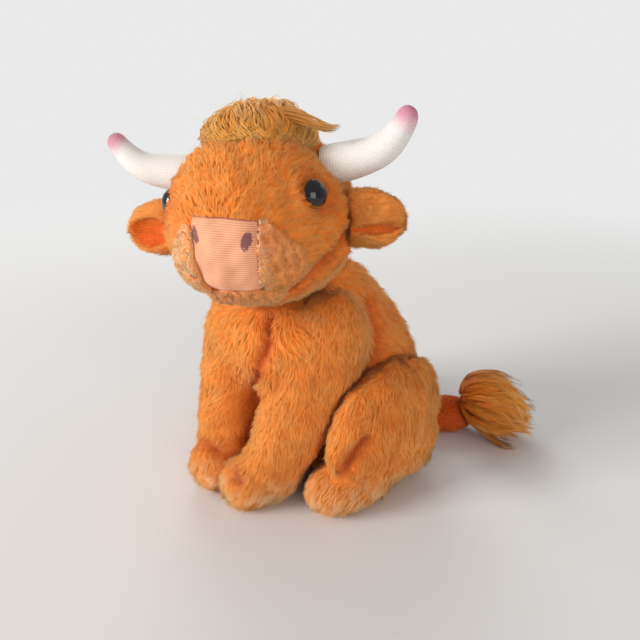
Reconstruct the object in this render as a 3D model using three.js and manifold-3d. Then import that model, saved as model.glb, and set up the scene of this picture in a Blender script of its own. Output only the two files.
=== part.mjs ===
// A sitting plush Highland cow: stuffed trunk, legs, tail and head, with sewn horns, ears,
// forelock and muzzle panels, plastic safety eyes and a bag of pellets in the seat.
// Sizes are in millimetres and angles in degrees. +Z is up, the cow faces -Y, its left side is
// +X, and the table top that it sits on is the plane z = 0.
import * as THREE from "three";
import { mergeVertices } from "three/addons/utils/BufferGeometryUtils.js";
import Module from "manifold-3d";

const wasm = await Module();
wasm.setup();

// Clearances
const GAP = 0.3; // between two sewn pieces that touch
const SWING_GAP = 0.5; // between a piece that swings and what it slides along
const PRESSED = 0.5; // how deep the table presses a soft underside flat

// Trunk: stations from the seat, which the pellets press flat, to the neck
const TRUNK = {
  seat: { forward: -14, up: -9, wide: 46, deep: 43 },
  rump: { forward: -14, up: 27, wide: 49.5, deep: 46 },
  back: { forward: -12, up: 54, wide: 47.5, deep: 45 },
  shoulders: { forward: -1, up: 82, wide: 39.5, deep: 37.5 },
  neck: { forward: 20, up: 121, wide: 31.5, deep: 29 },
};

// Seat: the cloth panel under the trunk, and the pellet bag that it holds in
const SEAT_PANEL = { forward: -13, wide: 28, deep: 26, thick: 1.6 };
const PELLET_BAG = { wide: 23, deep: 21, high: 13 };

// Head: its middle, counted from the top of the neck, its turn to the cow's left and its tilt,
// then its stations from nape to muzzle, counted from that middle in the head's directions
const HEAD_OFFSET = { forward: 13, up: 19 };
const HEAD_TURN = 26;
const HEAD_TILT = 5.5;
const HEAD = {
  nape: { forward: -37, up: 1, wide: 29, high: 29 },
  crown: { forward: -18, up: 2, wide: 39, high: 38 },
  cheeks: { forward: 6, up: -1, wide: 40.5, high: 38 },
  face: { forward: 27, up: -6, wide: 34, high: 31 },
  muzzle: { forward: 48, up: -12.5, wide: 24, high: 22.5 },
};

// Neck: a wad of stuffing between the head and the bowl that the head rests in
const NECK_WAD = { radius: 16.5, sunk: 2 };
const NECK_BOWL_ANGLE = 45; // how far round the bowl reaches, from the middle of the neck
const HEAD_TURNS = { from: -20, to: 20 };
const HEAD_NODS = { from: -10, to: 8 };

// Muzzle: its cloth, and the outline of each panel as it is seen from the front
const MUZZLE_CLOTH = { thick: 1.6, proud: 0.8, seam: 0.4 };
const NOSE = { top: 8, foot: -20.5, halfTop: 15, halfFoot: 10.5, corner: 4 };
const NOSE_SIDE = { top: 5, reach: 30, low: -25, corner: 3 };
const CHIN = { halfWide: 17, halfFoot: 10, high: 9, corner: 2 };

// Front legs: stations from shoulder to sole, then how far the paw reaches from the sole. Both
// legs lean to the cow's right by this share of the way down from the shoulder.
const FRONT_LEG = {
  shoulder: { side: 27, forward: 20, up: 108, wide: 19, deep: 20 },
  upper: { side: 26, forward: 21, up: 68, wide: 17.5, deep: 22 },
  fore: { side: 22, forward: 32, up: 42, wide: 16, deep: 20 },
  ankle: { side: 17, forward: 43, up: 18, wide: 14.5, deep: 17 },
  sole: { side: 14, forward: 46, up: -PRESSED, wide: 14, deep: 17 },
};
const PAW = { inwards: 2, behind: 12, ahead: 21, wide: 14, high: 13.5 };
const LEGS_LEAN = 0.1;
const SHOULDER = { forward: 8, up: 74 };
const FRONT_LEG_LIFT = 20;

// Hind legs: stations from hip to shin, then where the foot's heel and toe lie from the shin
const THIGH = {
  hip: { side: 40.5, forward: -38, up: 21, wide: 12, high: 20 },
  middle: { side: 45.5, forward: -20, up: 26, wide: 18, high: 26 },
  knee: { side: 48, forward: -5, up: 25, wide: 17.5, high: 23 },
  shin: { side: 47, forward: 6, up: 18, wide: 14.5, high: 16 },
};
const FOOT = { wide: 14.5, high: 13.5, heelOut: 1, heelBehind: 16, toeIn: 9, toeAhead: 39 };
const HIP = { side: 34, forward: -44 };
const HIND_LEG_SPLAY = 18;

// Tail, curled to the cow's left on the table, and the stations of its tuft, counted from the
// end of the tail
const TAIL = {
  root: { side: 6, forward: -50, up: 16, half: 10.5 },
  bend: { side: 29, forward: -62, half: 10.5 },
  end: { side: 55, forward: -81, half: 10.5 },
};
const TUFT = {
  root: { side: -4, forward: 3, wide: 12, high: 12.5 },
  swell: { side: 7, forward: -1, wide: 19, high: 19.5 },
  fan: { side: 20, forward: -7, wide: 20, high: 17.5 },
  tip: { side: 33, forward: -13, wide: 13, high: 10.5 },
};
const TAIL_SWING = 40;
const TUFT_BEND = 12;

// Horns and ears, in the head's directions
const HORN = {
  root: { side: 24, forward: -2, up: 20, half: 9.5 },
  spread: { side: 43, forward: -2, up: 22, half: 8 },
  elbow: { side: 56, forward: 0, up: 26, half: 6.5 },
  rise: { side: 64, forward: 1, up: 34, half: 5 },
  tip: { side: 67.5, forward: 2, up: 41, half: 4.3 },
};
const HORN_FLEX = 6;
const EAR = {
  root: { side: 30, forward: 4, up: 0, wide: 9, thick: 5 },
  blade: { side: 47, forward: 6, up: -1.5, wide: 12, thick: 5 },
  tip: { side: 64, forward: 9, up: -2, wide: 8.5, thick: 4 },
};
const EAR_FLAP = 15;
const EAR_LINING = { thick: 1.2, proud: 0.3, share: 0.68 };

// Safety eyes: a plastic dome on a shank, held behind the cloth by a washer
const EYE = { aside: 53, above: 17.5, radius: 6, dome: 4.5, shank: 1.5, length: 11, sunk: 0.9 };
const WASHER = { radius: 6.5, thick: 2, depth: 3 };

// Forelock: a long-pile pad across the crown, brushed to the cow's left, in the head's directions
const FORELOCK = {
  right: { side: -24, forward: -4, up: 33, wide: 14, high: 7 },
  middle: { side: 3, forward: -2, up: 37, wide: 23, high: 11 },
  left: { side: 32, forward: -3, up: 32, wide: 14, high: 8 },
};

// Colours
const GINGER = 0xd8803a;
const DARK_GINGER = 0xb8601f;
const KNIT_PINK = 0xd99a78;
const SUEDE_TAN = 0xc27a45;
const HORN_CREAM = 0xf3ebe0;
const EYE_BROWN = 0x241812;
const CLEAR_WHITE = 0xe8e6e0;
const WADDING = 0xf2f0ea;
const COTTON = 0xcfa27a;

const ORIGIN = new THREE.Vector3();
const LEFT = new THREE.Vector3(1, 0, 0);
const FORWARD = new THREE.Vector3(0, -1, 0);
const UP = new THREE.Vector3(0, 0, 1);
const LATHE_AXIS = new THREE.Vector3(0, 1, 0); // the axis of three.js cylinders and lathes
const FAR = 500; // longer than the toy in any direction

// Facets of a full circle
const BALL_FACETS = { around: 36, rings: 24 };
const NECK_FACETS = 20;
const PLATE_FACETS = 28;
const BAG_FACETS = { around: 20, rings: 10 };
const LINING_FACETS = 16;
const TURNED_FACETS = 16;

const rad = THREE.MathUtils.degToRad;

// A point given as how far to the cow's left, how far forward and how high.
function place({ side = 0, forward = 0, up = 0 }) {
  return new THREE.Vector3(side, -forward, up);
}

// The station as it lies on the table, pressed flat a little.
function lying(station) {
  return { ...station, up: (station.half ?? station.high) - PRESSED };
}

// Stuffed forms

// A stuffed form: an oval section that follows a smooth line through its stations, swelling
// and tapering on the way, and closes in a dome at each end. The larger the number in blunt,
// the flatter the dome. hand is 1 on the cow's left and -1 on its right.
function stuffedForm(stations, options = {}) {
  const { hand = 1, side = LEFT, rings = 12, around = 20, blunt = 4 } = options;
  const list = Object.values(stations);
  const centres = list.map((s) => place({ ...s, side: hand * (s.side ?? 0) }));
  const halves = list.map((s) => {
    return new THREE.Vector3(s.half ?? s.wide, s.half ?? s.deep ?? s.high ?? s.thick, 0);
  });
  return {
    line: new THREE.CatmullRomCurve3(centres),
    halves: new THREE.CatmullRomCurve3(halves),
    side: new THREE.Vector3(hand * side.x, side.y, side.z),
    rings,
    around,
    blunt,
  };
}

// The point of a form's surface at a share of the way along its line and at an angle round
// it, counted from its side direction. The skin can be grown by a clearance.
function onForm(form, along, angle, grow = 0) {
  const middle = form.line.getPoint(along);
  const ahead = form.line.getTangent(along);
  const across = form.side.clone().addScaledVector(ahead, -form.side.dot(ahead)).normalize();
  const deep = new THREE.Vector3().crossVectors(ahead, across);
  const half = form.halves.getPoint(along);
  const way = 2 * along - 1;
  const closing = Math.sqrt(Math.max(0, 1 - Math.abs(way) ** form.blunt));
  return middle
    .addScaledVector(across, (half.x + grow) * closing * Math.cos(angle))
    .addScaledVector(deep, (half.y + grow) * closing * Math.sin(angle))
    .addScaledVector(ahead, grow * way);
}

// The closed skin of a form. Its rings crowd towards the domes.
function skinOf(form, grow = 0) {
  const { rings, around } = form;
  const points = [onForm(form, 0, 0, grow)];
  for (let ring = 1; ring < rings; ring++) {
    const along = (1 - Math.cos((Math.PI * ring) / rings)) / 2;
    for (let step = 0; step < around; step++) {
      points.push(onForm(form, along, (2 * Math.PI * step) / around, grow));
    }
  }
  points.push(onForm(form, 1, 0, grow));
  const at = (ring, step) => 1 + (ring - 1) * around + (step % around);
  const last = points.length - 1;
  const faces = [];
  for (let step = 0; step < around; step++) {
    faces.push(0, at(1, step + 1), at(1, step));
    for (let ring = 1; ring < rings - 1; ring++) {
      faces.push(at(ring, step), at(ring, step + 1), at(ring + 1, step + 1));
      faces.push(at(ring, step), at(ring + 1, step + 1), at(ring + 1, step));
    }
    faces.push(at(rings - 1, step), at(rings - 1, step + 1), last);
  }
  return new THREE.BufferGeometry().setFromPoints(points).setIndex(faces);
}

// Solids for joining and cutting

function solidOf(geometry) {
  const bare = new THREE.BufferGeometry();
  bare.setAttribute("position", geometry.getAttribute("position"));
  bare.setIndex(geometry.getIndex());
  const merged = mergeVertices(bare, 1e-4);
  const mesh = new wasm.Mesh({
    numProp: 3,
    vertProperties: merged.getAttribute("position").array,
    triVerts: new Uint32Array(merged.getIndex().array),
  });
  return new wasm.Manifold(mesh);
}

function geometryOf(solid) {
  const { vertProperties, triVerts } = solid.getMesh();
  const geometry = new THREE.BufferGeometry();
  geometry.setAttribute("position", new THREE.BufferAttribute(vertProperties, 3));
  geometry.setIndex(new THREE.BufferAttribute(triVerts, 1));
  geometry.computeVertexNormals();
  return geometry;
}

// The body that is left when a cut also frees a few scraps.
function largest(solid) {
  return solid.decompose().reduce((a, b) => (a.volume() > b.volume() ? a : b));
}

function boxFrom(x, y, z) {
  return solidOf(new THREE.BoxGeometry(FAR, FAR, FAR).translate(x, y, z));
}

const underTable = boxFrom(0, 0, -FAR / 2);

function flattened(form) {
  return solidOf(skinOf(form)).subtract(underTable);
}

// A turn by some degrees about an axis through a point.
function turnAbout(pivot, axis, degrees) {
  const turn = new THREE.Matrix4().makeRotationAxis(axis, rad(degrees));
  const there = new THREE.Matrix4().makeTranslation(pivot);
  const back = new THREE.Matrix4().makeTranslation(pivot.clone().negate());
  return there.multiply(turn).multiply(back);
}

// A piece trimmed to clear a skin over the whole of a swing, a few degrees at a time. The piece
// either swings itself, or lies still beside a skin that swings.
const SWING_STEP = 5;
function clearOf(piece, skin, joint, pieceSwings = true) {
  const { pivot, axis, from, to } = joint;
  const steps = Math.ceil((to - from) / SWING_STEP);
  let left = piece;
  for (let step = 0; step <= steps; step++) {
    const angle = (from + ((to - from) * step) / steps) * (pieceSwings ? -1 : 1);
    left = left.subtract(solidOf(skin.clone().applyMatrix4(turnAbout(pivot, axis, angle))));
  }
  return largest(left);
}

// The scene graph

const model = new THREE.Group();
const joints = {};
model.userData.joints = joints; // each joint's pivot, axis and range

function addPiece(parent, name, solid, color, roughness = 0.95) {
  const material = new THREE.MeshStandardMaterial({ color, roughness, metalness: 0 });
  const mesh = new THREE.Mesh(geometryOf(solid), material);
  mesh.name = name;
  parent.add(mesh);
}

const neckTop = place(TRUNK.neck);
const headMiddle = neckTop.clone().add(place(HEAD_OFFSET));
const headGroup = new THREE.Group();
headGroup.position.copy(headMiddle);
headGroup.rotation.set(0, rad(-HEAD_TILT), rad(HEAD_TURN), "ZYX");
headGroup.updateMatrix();
model.add(headGroup);

const trunkForm = stuffedForm(TRUNK, { rings: 16, around: 28 });
const headForm = stuffedForm(HEAD, { rings: 18, around: 28, blunt: 3 });
const headSkin = skinOf(headForm);

// Neck

const neckAxis = neckTop.clone().sub(headMiddle).normalize();
const neckInHead = neckAxis.clone().transformDirection(headGroup.matrix.clone().invert());

// How far a skin lies from the head's middle in one direction.
function reachAlong(skin, direction) {
  const probe = new THREE.Mesh(skin, new THREE.MeshBasicMaterial({ side: THREE.DoubleSide }));
  return new THREE.Raycaster(ORIGIN, direction).intersectObject(probe)[0].distance;
}

// The farthest that the head's skin comes from its middle, within an angle of the neck.
function reachNearNeck() {
  const corners = headSkin.getAttribute("position");
  const corner = new THREE.Vector3();
  let reach = 0;
  for (let i = 0; i < corners.count; i++) {
    corner.fromBufferAttribute(corners, i);
    if (corner.angleTo(neckInHead) < rad(NECK_BOWL_ANGLE)) reach = Math.max(reach, corner.length());
  }
  return reach;
}

const wadInner = reachAlong(headSkin, neckInHead) - NECK_WAD.sunk;
const bowlRadius = reachNearNeck() + SWING_GAP;

function ballSkin(radius) {
  return new THREE.SphereGeometry(radius, BALL_FACETS.around, BALL_FACETS.rings);
}

function ball(radius) {
  return solidOf(ballSkin(radius));
}

const bowlSkin = ballSkin(bowlRadius).translate(...headMiddle);

// A turned shape that stood along the lathe's axis, now along a direction.
function stoodAlong(geometry, direction) {
  return geometry.applyQuaternion(new THREE.Quaternion().setFromUnitVectors(LATHE_AXIS, direction));
}

// A round bar from the middle of the head out along the neck.
function neckBar(radius, direction) {
  const bar = new THREE.CylinderGeometry(radius, radius, FAR, NECK_FACETS).translate(0, FAR / 2, 0);
  return solidOf(stoodAlong(bar, direction));
}

const neckGroup = new THREE.Group();
neckGroup.position.copy(headMiddle);
model.add(neckGroup);
const wad = neckBar(NECK_WAD.radius, neckAxis).intersect(ball(bowlRadius - GAP));
addPiece(neckGroup, "neck_stuffing", wad.subtract(ball(wadInner)), WADDING);
joints.neck_turn = { pivot: headMiddle, axis: neckAxis.clone().negate(), ...HEAD_TURNS };
joints.head_nod = { pivot: headMiddle, axis: LEFT, ...HEAD_NODS };

// The dimple in the head that lets it nod on the wad.
const nodReach = bowlRadius * Math.sin(rad(Math.max(-HEAD_NODS.from, HEAD_NODS.to)));
const neckDimple = neckBar(NECK_WAD.radius + nodReach + GAP, neckInHead).subtract(ball(wadInner - GAP));

// Trunk, seat panel and pellet bag

// An upright oval plate from one height to another over the middle of the seat.
function seatPlate(wide, deep, from, to) {
  const plate = new THREE.CylinderGeometry(1, 1, to - from, PLATE_FACETS).rotateX(Math.PI / 2);
  plate.scale(wide, deep, 1);
  return solidOf(plate.translate(...place({ forward: SEAT_PANEL.forward, up: (from + to) / 2 })));
}

function pelletBag(grow) {
  const bag = new THREE.SphereGeometry(1, BAG_FACETS.around, BAG_FACETS.rings).rotateX(Math.PI / 2);
  bag.scale(PELLET_BAG.wide + grow, PELLET_BAG.deep + grow, PELLET_BAG.high / 2 + grow);
  const up = SEAT_PANEL.thick + GAP + PELLET_BAG.high / 2;
  return solidOf(bag.translate(...place({ forward: SEAT_PANEL.forward, up })));
}

const { wide: panelWide, deep: panelDeep, thick: panelThick } = SEAT_PANEL;
const panelRecess = seatPlate(panelWide + GAP, panelDeep + GAP, -panelThick, panelThick + GAP);
const trunk = flattened(trunkForm).subtract(solidOf(bowlSkin)).subtract(panelRecess).subtract(pelletBag(GAP));
addPiece(model, "trunk", largest(trunk), GINGER);
addPiece(model, "seat_panel", seatPlate(panelWide, panelDeep, 0, panelThick), COTTON);
addPiece(model, "pellet_bag", pelletBag(0), COTTON);

// Legs

const swingSkin = skinOf(trunkForm, SWING_GAP);
const leanAxis = new THREE.Vector3(1, 0, -LEGS_LEAN).normalize();
const lean = new THREE.Matrix4().makeTranslation(0, 0, SHOULDER.up);
lean.multiply(new THREE.Matrix4().makeShear(0, 0, 0, 0, LEGS_LEAN, 0));
lean.multiply(new THREE.Matrix4().makeTranslation(0, 0, -SHOULDER.up));

// A front leg before it is trimmed: the leg and its paw, grown by a clearance, on one side of
// the plane between the two legs, and then leaned over.
function frontLeg(hand, grow) {
  const leg = stuffedForm(FRONT_LEG, { hand, blunt: 5 });
  const { sole } = FRONT_LEG;
  const paw = { side: sole.side - PAW.inwards, wide: PAW.wide, high: PAW.high };
  const heel = lying({ ...paw, forward: sole.forward - PAW.behind });
  const toe = lying({ ...paw, forward: sole.forward + PAW.ahead });
  const pawForm = stuffedForm({ heel, toe }, { hand, blunt: 3 });
  const whole = solidOf(skinOf(leg, grow)).add(solidOf(skinOf(pawForm, grow)));
  const otherSide = boxFrom(-hand * (FAR / 2 - GAP / 2 + grow), 0, 0);
  return geometryOf(whole.subtract(otherSide)).applyMatrix4(lean);
}

function hindLeg(hand) {
  const { shin } = THIGH;
  const sizes = { wide: FOOT.wide, high: FOOT.high };
  const heel = { side: shin.side + FOOT.heelOut, forward: shin.forward - FOOT.heelBehind };
  const toe = { side: shin.side - FOOT.toeIn, forward: shin.forward + FOOT.toeAhead };
  const feet = { heel: lying({ ...sizes, ...heel }), toe: lying({ ...sizes, ...toe }) };
  const thigh = solidOf(skinOf(stuffedForm(THIGH, { hand })));
  return thigh.add(solidOf(skinOf(stuffedForm(feet, { hand, blunt: 3 })))).subtract(underTable);
}

const sides = { left: 1, right: -1 };
for (const [name, hand] of Object.entries(sides)) {
  const lift = { pivot: place(SHOULDER), axis: leanAxis, from: -FRONT_LEG_LIFT, to: 0 };
  const splay = hand > 0 ? { from: 0, to: HIND_LEG_SPLAY } : { from: -HIND_LEG_SPLAY, to: 0 };
  const hip = { pivot: place({ ...HIP, side: hand * HIP.side }), axis: UP, ...splay };
  const front = clearOf(solidOf(frontLeg(hand, 0)).subtract(underTable), bowlSkin, lift);
  const hind = clearOf(hindLeg(hand), swingSkin, hip);
  addPiece(model, `front_leg_${name}`, clearOf(front, swingSkin, lift), GINGER);
  addPiece(model, `hind_leg_${name}`, clearOf(hind, frontLeg(hand, SWING_GAP), lift, false), GINGER);
  joints[`front_leg_${name}_lift`] = lift;
  joints[`hind_leg_${name}_splay`] = hip;
}

// Tail and tuft

const { root: tailRoot, end: tailTip } = TAIL;
const tailForm = stuffedForm(
  { root: tailRoot, bend: lying(TAIL.bend), end: lying(tailTip) },
  { side: UP, blunt: 6, around: 16 },
);
const tuftStations = Object.values(TUFT).map((s) => {
  const at = { side: tailTip.side + s.side, forward: tailTip.forward + s.forward };
  return { ...lying(s), ...at, wide: s.high, high: s.wide };
});
const tuftForm = stuffedForm(tuftStations, { side: UP, blunt: 3 });
joints.tail_swing = { pivot: place(tailRoot), axis: UP, from: 0, to: TAIL_SWING };
joints.tuft_bend = { pivot: place(lying(tailTip)), axis: UP, from: -TUFT_BEND, to: TUFT_BEND };
const tail = clearOf(flattened(tailForm), swingSkin, joints.tail_swing);
const tuftSkin = skinOf(tuftForm, SWING_GAP);
addPiece(model, "tail", clearOf(tail, tuftSkin, joints.tuft_bend, false), DARK_GINGER);
addPiece(model, "tail_tuft", flattened(tuftForm), GINGER);

// Horns and ears

const headCut = skinOf(headForm, SWING_GAP);
const hornSkins = [];
const headCuts = [neckDimple];

// The share of an ear's skin that its lining covers: what lies inside an oval bar that comes
// from the front, between two depths under the skin.
function earLining(earForm, grow) {
  const { thick, proud, share } = EAR_LINING;
  const { blade, tip } = EAR;
  const long = (tip.side - blade.side) * share + grow;
  const bar = new THREE.CylinderGeometry(1, 1, FAR, LINING_FACETS);
  bar.scale(long, 1, blade.wide * share + grow);
  const middle = earForm.line.getPoint((1 + share) / 2);
  bar.translate(middle.x, middle.y - FAR / 2, middle.z);
  const outside = solidOf(skinOf(earForm, proud + grow));
  return solidOf(bar).intersect(outside).subtract(solidOf(skinOf(earForm, proud - thick - grow)));
}

for (const [name, hand] of Object.entries(sides)) {
  const hornForm = stuffedForm(HORN, { hand, side: FORWARD, blunt: 8, around: 16 });
  const hornRoot = hornForm.line.getPoint(0);
  const hornSeat = hornRoot.clone().setLength(reachAlong(headSkin, hornRoot.clone().normalize()));
  const flex = { pivot: hornSeat, axis: FORWARD, from: -HORN_FLEX, to: HORN_FLEX };
  addPiece(headGroup, `horn_${name}`, clearOf(solidOf(skinOf(hornForm)), headCut, flex), HORN_CREAM);
  hornSkins.push([skinOf(hornForm, SWING_GAP), flex]);
  joints[`horn_${name}_flex`] = flex;

  const earForm = stuffedForm(EAR, { hand, side: UP });
  const earRoot = earForm.line.getPoint(0);
  const earSeat = earRoot.clone().setLength(reachAlong(headSkin, earRoot.clone().normalize()));
  const flap = { pivot: earSeat, axis: UP, from: -EAR_FLAP, to: EAR_FLAP };
  const ear = clearOf(solidOf(skinOf(earForm)), headCut, flap);
  addPiece(headGroup, `ear_${name}`, ear.subtract(earLining(earForm, GAP)), GINGER);
  addPiece(headGroup, `ear_lining_${name}`, earLining(earForm, 0), DARK_GINGER);
  joints[`ear_${name}_flap`] = flap;
}

// Safety eyes

// A turned part that stands along a direction from the head's middle, its profile given as
// radius and height above that middle.
function turned(profile, direction) {
  const points = profile.map(([radius, height]) => new THREE.Vector2(radius, height));
  return solidOf(stoodAlong(new THREE.LatheGeometry(points, TURNED_FACETS), direction));
}

// The dome's outline from its rim to its top.
function domeProfile(base) {
  const steps = 5;
  return Array.from({ length: steps + 1 }, (_, i) => {
    const angle = (Math.PI / 2) * (i / steps);
    const radius = i < steps ? EYE.radius * Math.cos(angle) : 0;
    return [radius, base + EYE.dome * Math.sin(angle)];
  });
}

function rodProfile(radius, from, to) {
  return [[0, from], [radius, from], [radius, to], [0, to]];
}

for (const [name, hand] of Object.entries(sides)) {
  const flat = Math.cos(rad(EYE.above));
  const direction = place({
    side: hand * flat * Math.sin(rad(EYE.aside)),
    forward: flat * Math.cos(rad(EYE.aside)),
    up: Math.sin(rad(EYE.above)),
  });
  const base = reachAlong(headSkin, direction) - EYE.sunk;
  const shankEnd = base - EYE.length;
  const washerTop = base - WASHER.depth;
  const washerFoot = washerTop - WASHER.thick;
  const eye = [[0, shankEnd], [EYE.shank, shankEnd], [EYE.shank, base], ...domeProfile(base)];
  addPiece(headGroup, `eye_${name}`, turned(eye, direction), EYE_BROWN, 0.08);
  const disc = turned(rodProfile(WASHER.radius, washerFoot, washerTop), direction);
  const bore = turned(rodProfile(EYE.shank + GAP, shankEnd - GAP, FAR), direction);
  addPiece(headGroup, `eye_washer_${name}`, disc.subtract(bore), CLEAR_WHITE, 0.5);
  headCuts.push(bore, turned(rodProfile(EYE.radius + GAP, base - GAP, FAR), direction));
  headCuts.push(turned(rodProfile(WASHER.radius + GAP, washerFoot - GAP, washerTop + GAP), direction));
}

// Muzzle panels

// A bar that comes from the front with this outline, given anticlockwise as the cow sees it
// from behind its nose, with its corners rounded.
function frontBar(corners, radius) {
  const shape = new THREE.Shape();
  corners.forEach((corner, i) => {
    const before = corners[(i + corners.length - 1) % corners.length];
    const after = corners[(i + 1) % corners.length];
    const start = corner.clone().add(before.clone().sub(corner).setLength(radius));
    const end = corner.clone().add(after.clone().sub(corner).setLength(radius));
    if (i === 0) shape.moveTo(start.x, start.y);
    else shape.lineTo(start.x, start.y);
    shape.quadraticCurveTo(corner.x, corner.y, end.x, end.y);
  });
  shape.closePath();
  const bar = new THREE.ExtrudeGeometry(shape, { depth: FAR, bevelEnabled: false, curveSegments: 3 });
  return solidOf(bar.rotateX(Math.PI / 2));
}

// The corners of an outline moved out by a clearance.
function widened(corners, grow) {
  return corners.map((corner, i) => {
    const before = corners[(i + corners.length - 1) % corners.length];
    const after = corners[(i + 1) % corners.length];
    const into = corner.clone().sub(before).normalize();
    const away = after.clone().sub(corner).normalize();
    const out = new THREE.Vector2(into.y + away.y, -into.x - away.x);
    const stretch = 1 + into.dot(away);
    return corner.clone().addScaledVector(out, grow / stretch);
  });
}

const { seam } = MUZZLE_CLOTH;
const point = (side, up) => new THREE.Vector2(side, up);
const noseOutline = [
  point(-NOSE.halfTop, NOSE.top),
  point(-NOSE.halfFoot, NOSE.foot),
  point(NOSE.halfFoot, NOSE.foot),
  point(NOSE.halfTop, NOSE.top),
];
const sideOutline = [
  point(NOSE.halfFoot + seam, NOSE.foot),
  point((NOSE.halfFoot + NOSE_SIDE.reach) / 2, NOSE_SIDE.low),
  point(NOSE_SIDE.reach, (NOSE_SIDE.low + NOSE_SIDE.top) / 2),
  point((NOSE.halfTop + NOSE_SIDE.reach) / 2, NOSE_SIDE.top),
  point(NOSE.halfTop + seam, NOSE.top),
];
const chinOutline = [
  point(-NOSE.halfFoot, NOSE.foot - 2 * seam),
  point(-CHIN.halfWide, NOSE_SIDE.low - 2 * seam),
  point(-CHIN.halfFoot, NOSE.foot - CHIN.high),
  point(CHIN.halfFoot, NOSE.foot - CHIN.high),
  point(CHIN.halfWide, NOSE_SIDE.low - 2 * seam),
  point(NOSE.halfFoot, NOSE.foot - 2 * seam),
];
const mirrored = (corners) => corners.map((c) => point(-c.x, c.y)).reverse();

// A panel: the layer of the muzzle's cloth inside an outline. The head gets the same layer cut
// away with a gap all round.
const { thick: clothThick, proud } = MUZZLE_CLOTH;
const clothOuter = solidOf(skinOf(headForm, proud));
const clothInner = solidOf(skinOf(headForm, proud - clothThick));
const clothBed = solidOf(skinOf(headForm, proud - clothThick - GAP));

function addPanel(name, outline, corner, color, roughness) {
  const panel = frontBar(outline, corner).intersect(clothOuter).subtract(clothInner);
  addPiece(headGroup, name, largest(panel), color, roughness);
  headCuts.push(frontBar(widened(outline, GAP), corner).subtract(clothBed));
}

addPanel("nose_panel", noseOutline, NOSE.corner, KNIT_PINK, 0.85);
addPanel("muzzle_left", sideOutline, NOSE_SIDE.corner, SUEDE_TAN, 0.6);
addPanel("muzzle_right", mirrored(sideOutline), NOSE_SIDE.corner, SUEDE_TAN, 0.6);
addPanel("chin", chinOutline, CHIN.corner, SUEDE_TAN, 0.6);

// Head and forelock

const head = headCuts.reduce((solid, cut) => solid.subtract(cut), solidOf(headSkin));
addPiece(headGroup, "head", largest(head), GINGER);

const lockForm = stuffedForm(FORELOCK, { side: FORWARD });
const lockOnHead = solidOf(skinOf(lockForm)).subtract(solidOf(skinOf(headForm, GAP)));
const forelock = hornSkins.reduce((left, [skin, flex]) => clearOf(left, skin, flex, false), lockOnHead);
addPiece(headGroup, "forelock", forelock, GINGER);

export default model;
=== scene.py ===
# %% [markdown]
# # A sitting plush Highland cow
# The toy is sewn from short ginger pile cloth over stuffing, with knitted horns, a knitted nose,
# curly muzzle patches, safety eyes and a long-pile forelock and tail tuft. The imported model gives
# every size and place, so each skin here grows on the solid that it stands for.

from math import radians

import bmesh
import bpy
import numpy as np
from mathutils import Euler, Matrix, Vector
from mathutils.bvhtree import BVHTree


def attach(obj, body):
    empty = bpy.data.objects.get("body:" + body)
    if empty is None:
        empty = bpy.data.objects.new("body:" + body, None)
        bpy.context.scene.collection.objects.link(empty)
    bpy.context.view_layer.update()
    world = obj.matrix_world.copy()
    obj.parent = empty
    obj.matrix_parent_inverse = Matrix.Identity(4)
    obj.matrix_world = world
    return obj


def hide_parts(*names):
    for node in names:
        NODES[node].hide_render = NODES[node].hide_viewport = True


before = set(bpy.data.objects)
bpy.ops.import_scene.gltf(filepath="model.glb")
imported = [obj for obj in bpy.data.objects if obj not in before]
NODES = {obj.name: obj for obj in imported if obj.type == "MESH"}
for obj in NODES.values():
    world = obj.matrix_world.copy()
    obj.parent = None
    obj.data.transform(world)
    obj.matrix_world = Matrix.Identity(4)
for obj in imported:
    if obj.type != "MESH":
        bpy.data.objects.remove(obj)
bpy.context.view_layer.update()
MM = 0.001
SIDE, BACK, UP = np.eye(3)

# %% [markdown]
# ## Camera
# The photograph looks down at the toy from its left front. A pixel of the 640 by 640 picture is
# also a ray, which places a seam or a crease on the skin that it is seen on.

# %% Camera
CAMERA_PLACE = np.array([191.5, -215.0, 193.0]) * MM
CAMERA_TURN = Euler((radians(68.7), 0, radians(41)))
FOCAL_PIXELS = 590.0
PICTURE = 640
SENSOR = 36.0

eye_of_camera = bpy.data.cameras.new("camera")
eye_of_camera.sensor_width = SENSOR
eye_of_camera.lens = FOCAL_PIXELS * SENSOR / PICTURE
eye_of_camera.clip_start = 0.01
camera = bpy.data.objects.new("camera", eye_of_camera)
camera.location = CAMERA_PLACE
camera.rotation_euler = CAMERA_TURN
bpy.context.scene.collection.objects.link(camera)
bpy.context.scene.camera = camera


def ray_of(x, y):
    """The unit direction of the ray through a pixel, counted from the picture's top left: its
    distance from the middle over the focal length, turned as the camera is."""
    local = Vector(((x - PICTURE / 2) / FOCAL_PIXELS, -(y - PICTURE / 2) / FOCAL_PIXELS, -1))
    return (CAMERA_TURN.to_matrix() @ local).normalized()


# %% [markdown]
# ## Table and light
# A pale table top and wide soft lamps: the window on the cow's right, a weak lamp on its left, one
# behind, and an even sky.

# %% Stage and lamps
def plain_finish(name, colour, roughness):
    """A material of one colour."""
    made = bpy.data.materials.new(name)
    made.use_nodes = True
    shader = made.node_tree.nodes["Principled BSDF"]
    shader.inputs["Base Color"].default_value = (*colour, 1)
    shader.inputs["Roughness"].default_value = roughness
    return made


SKY_SEEN, SKY_LIGHT = 0.82, 0.36
TABLE_FADES = (0.25, 0.95)


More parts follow.
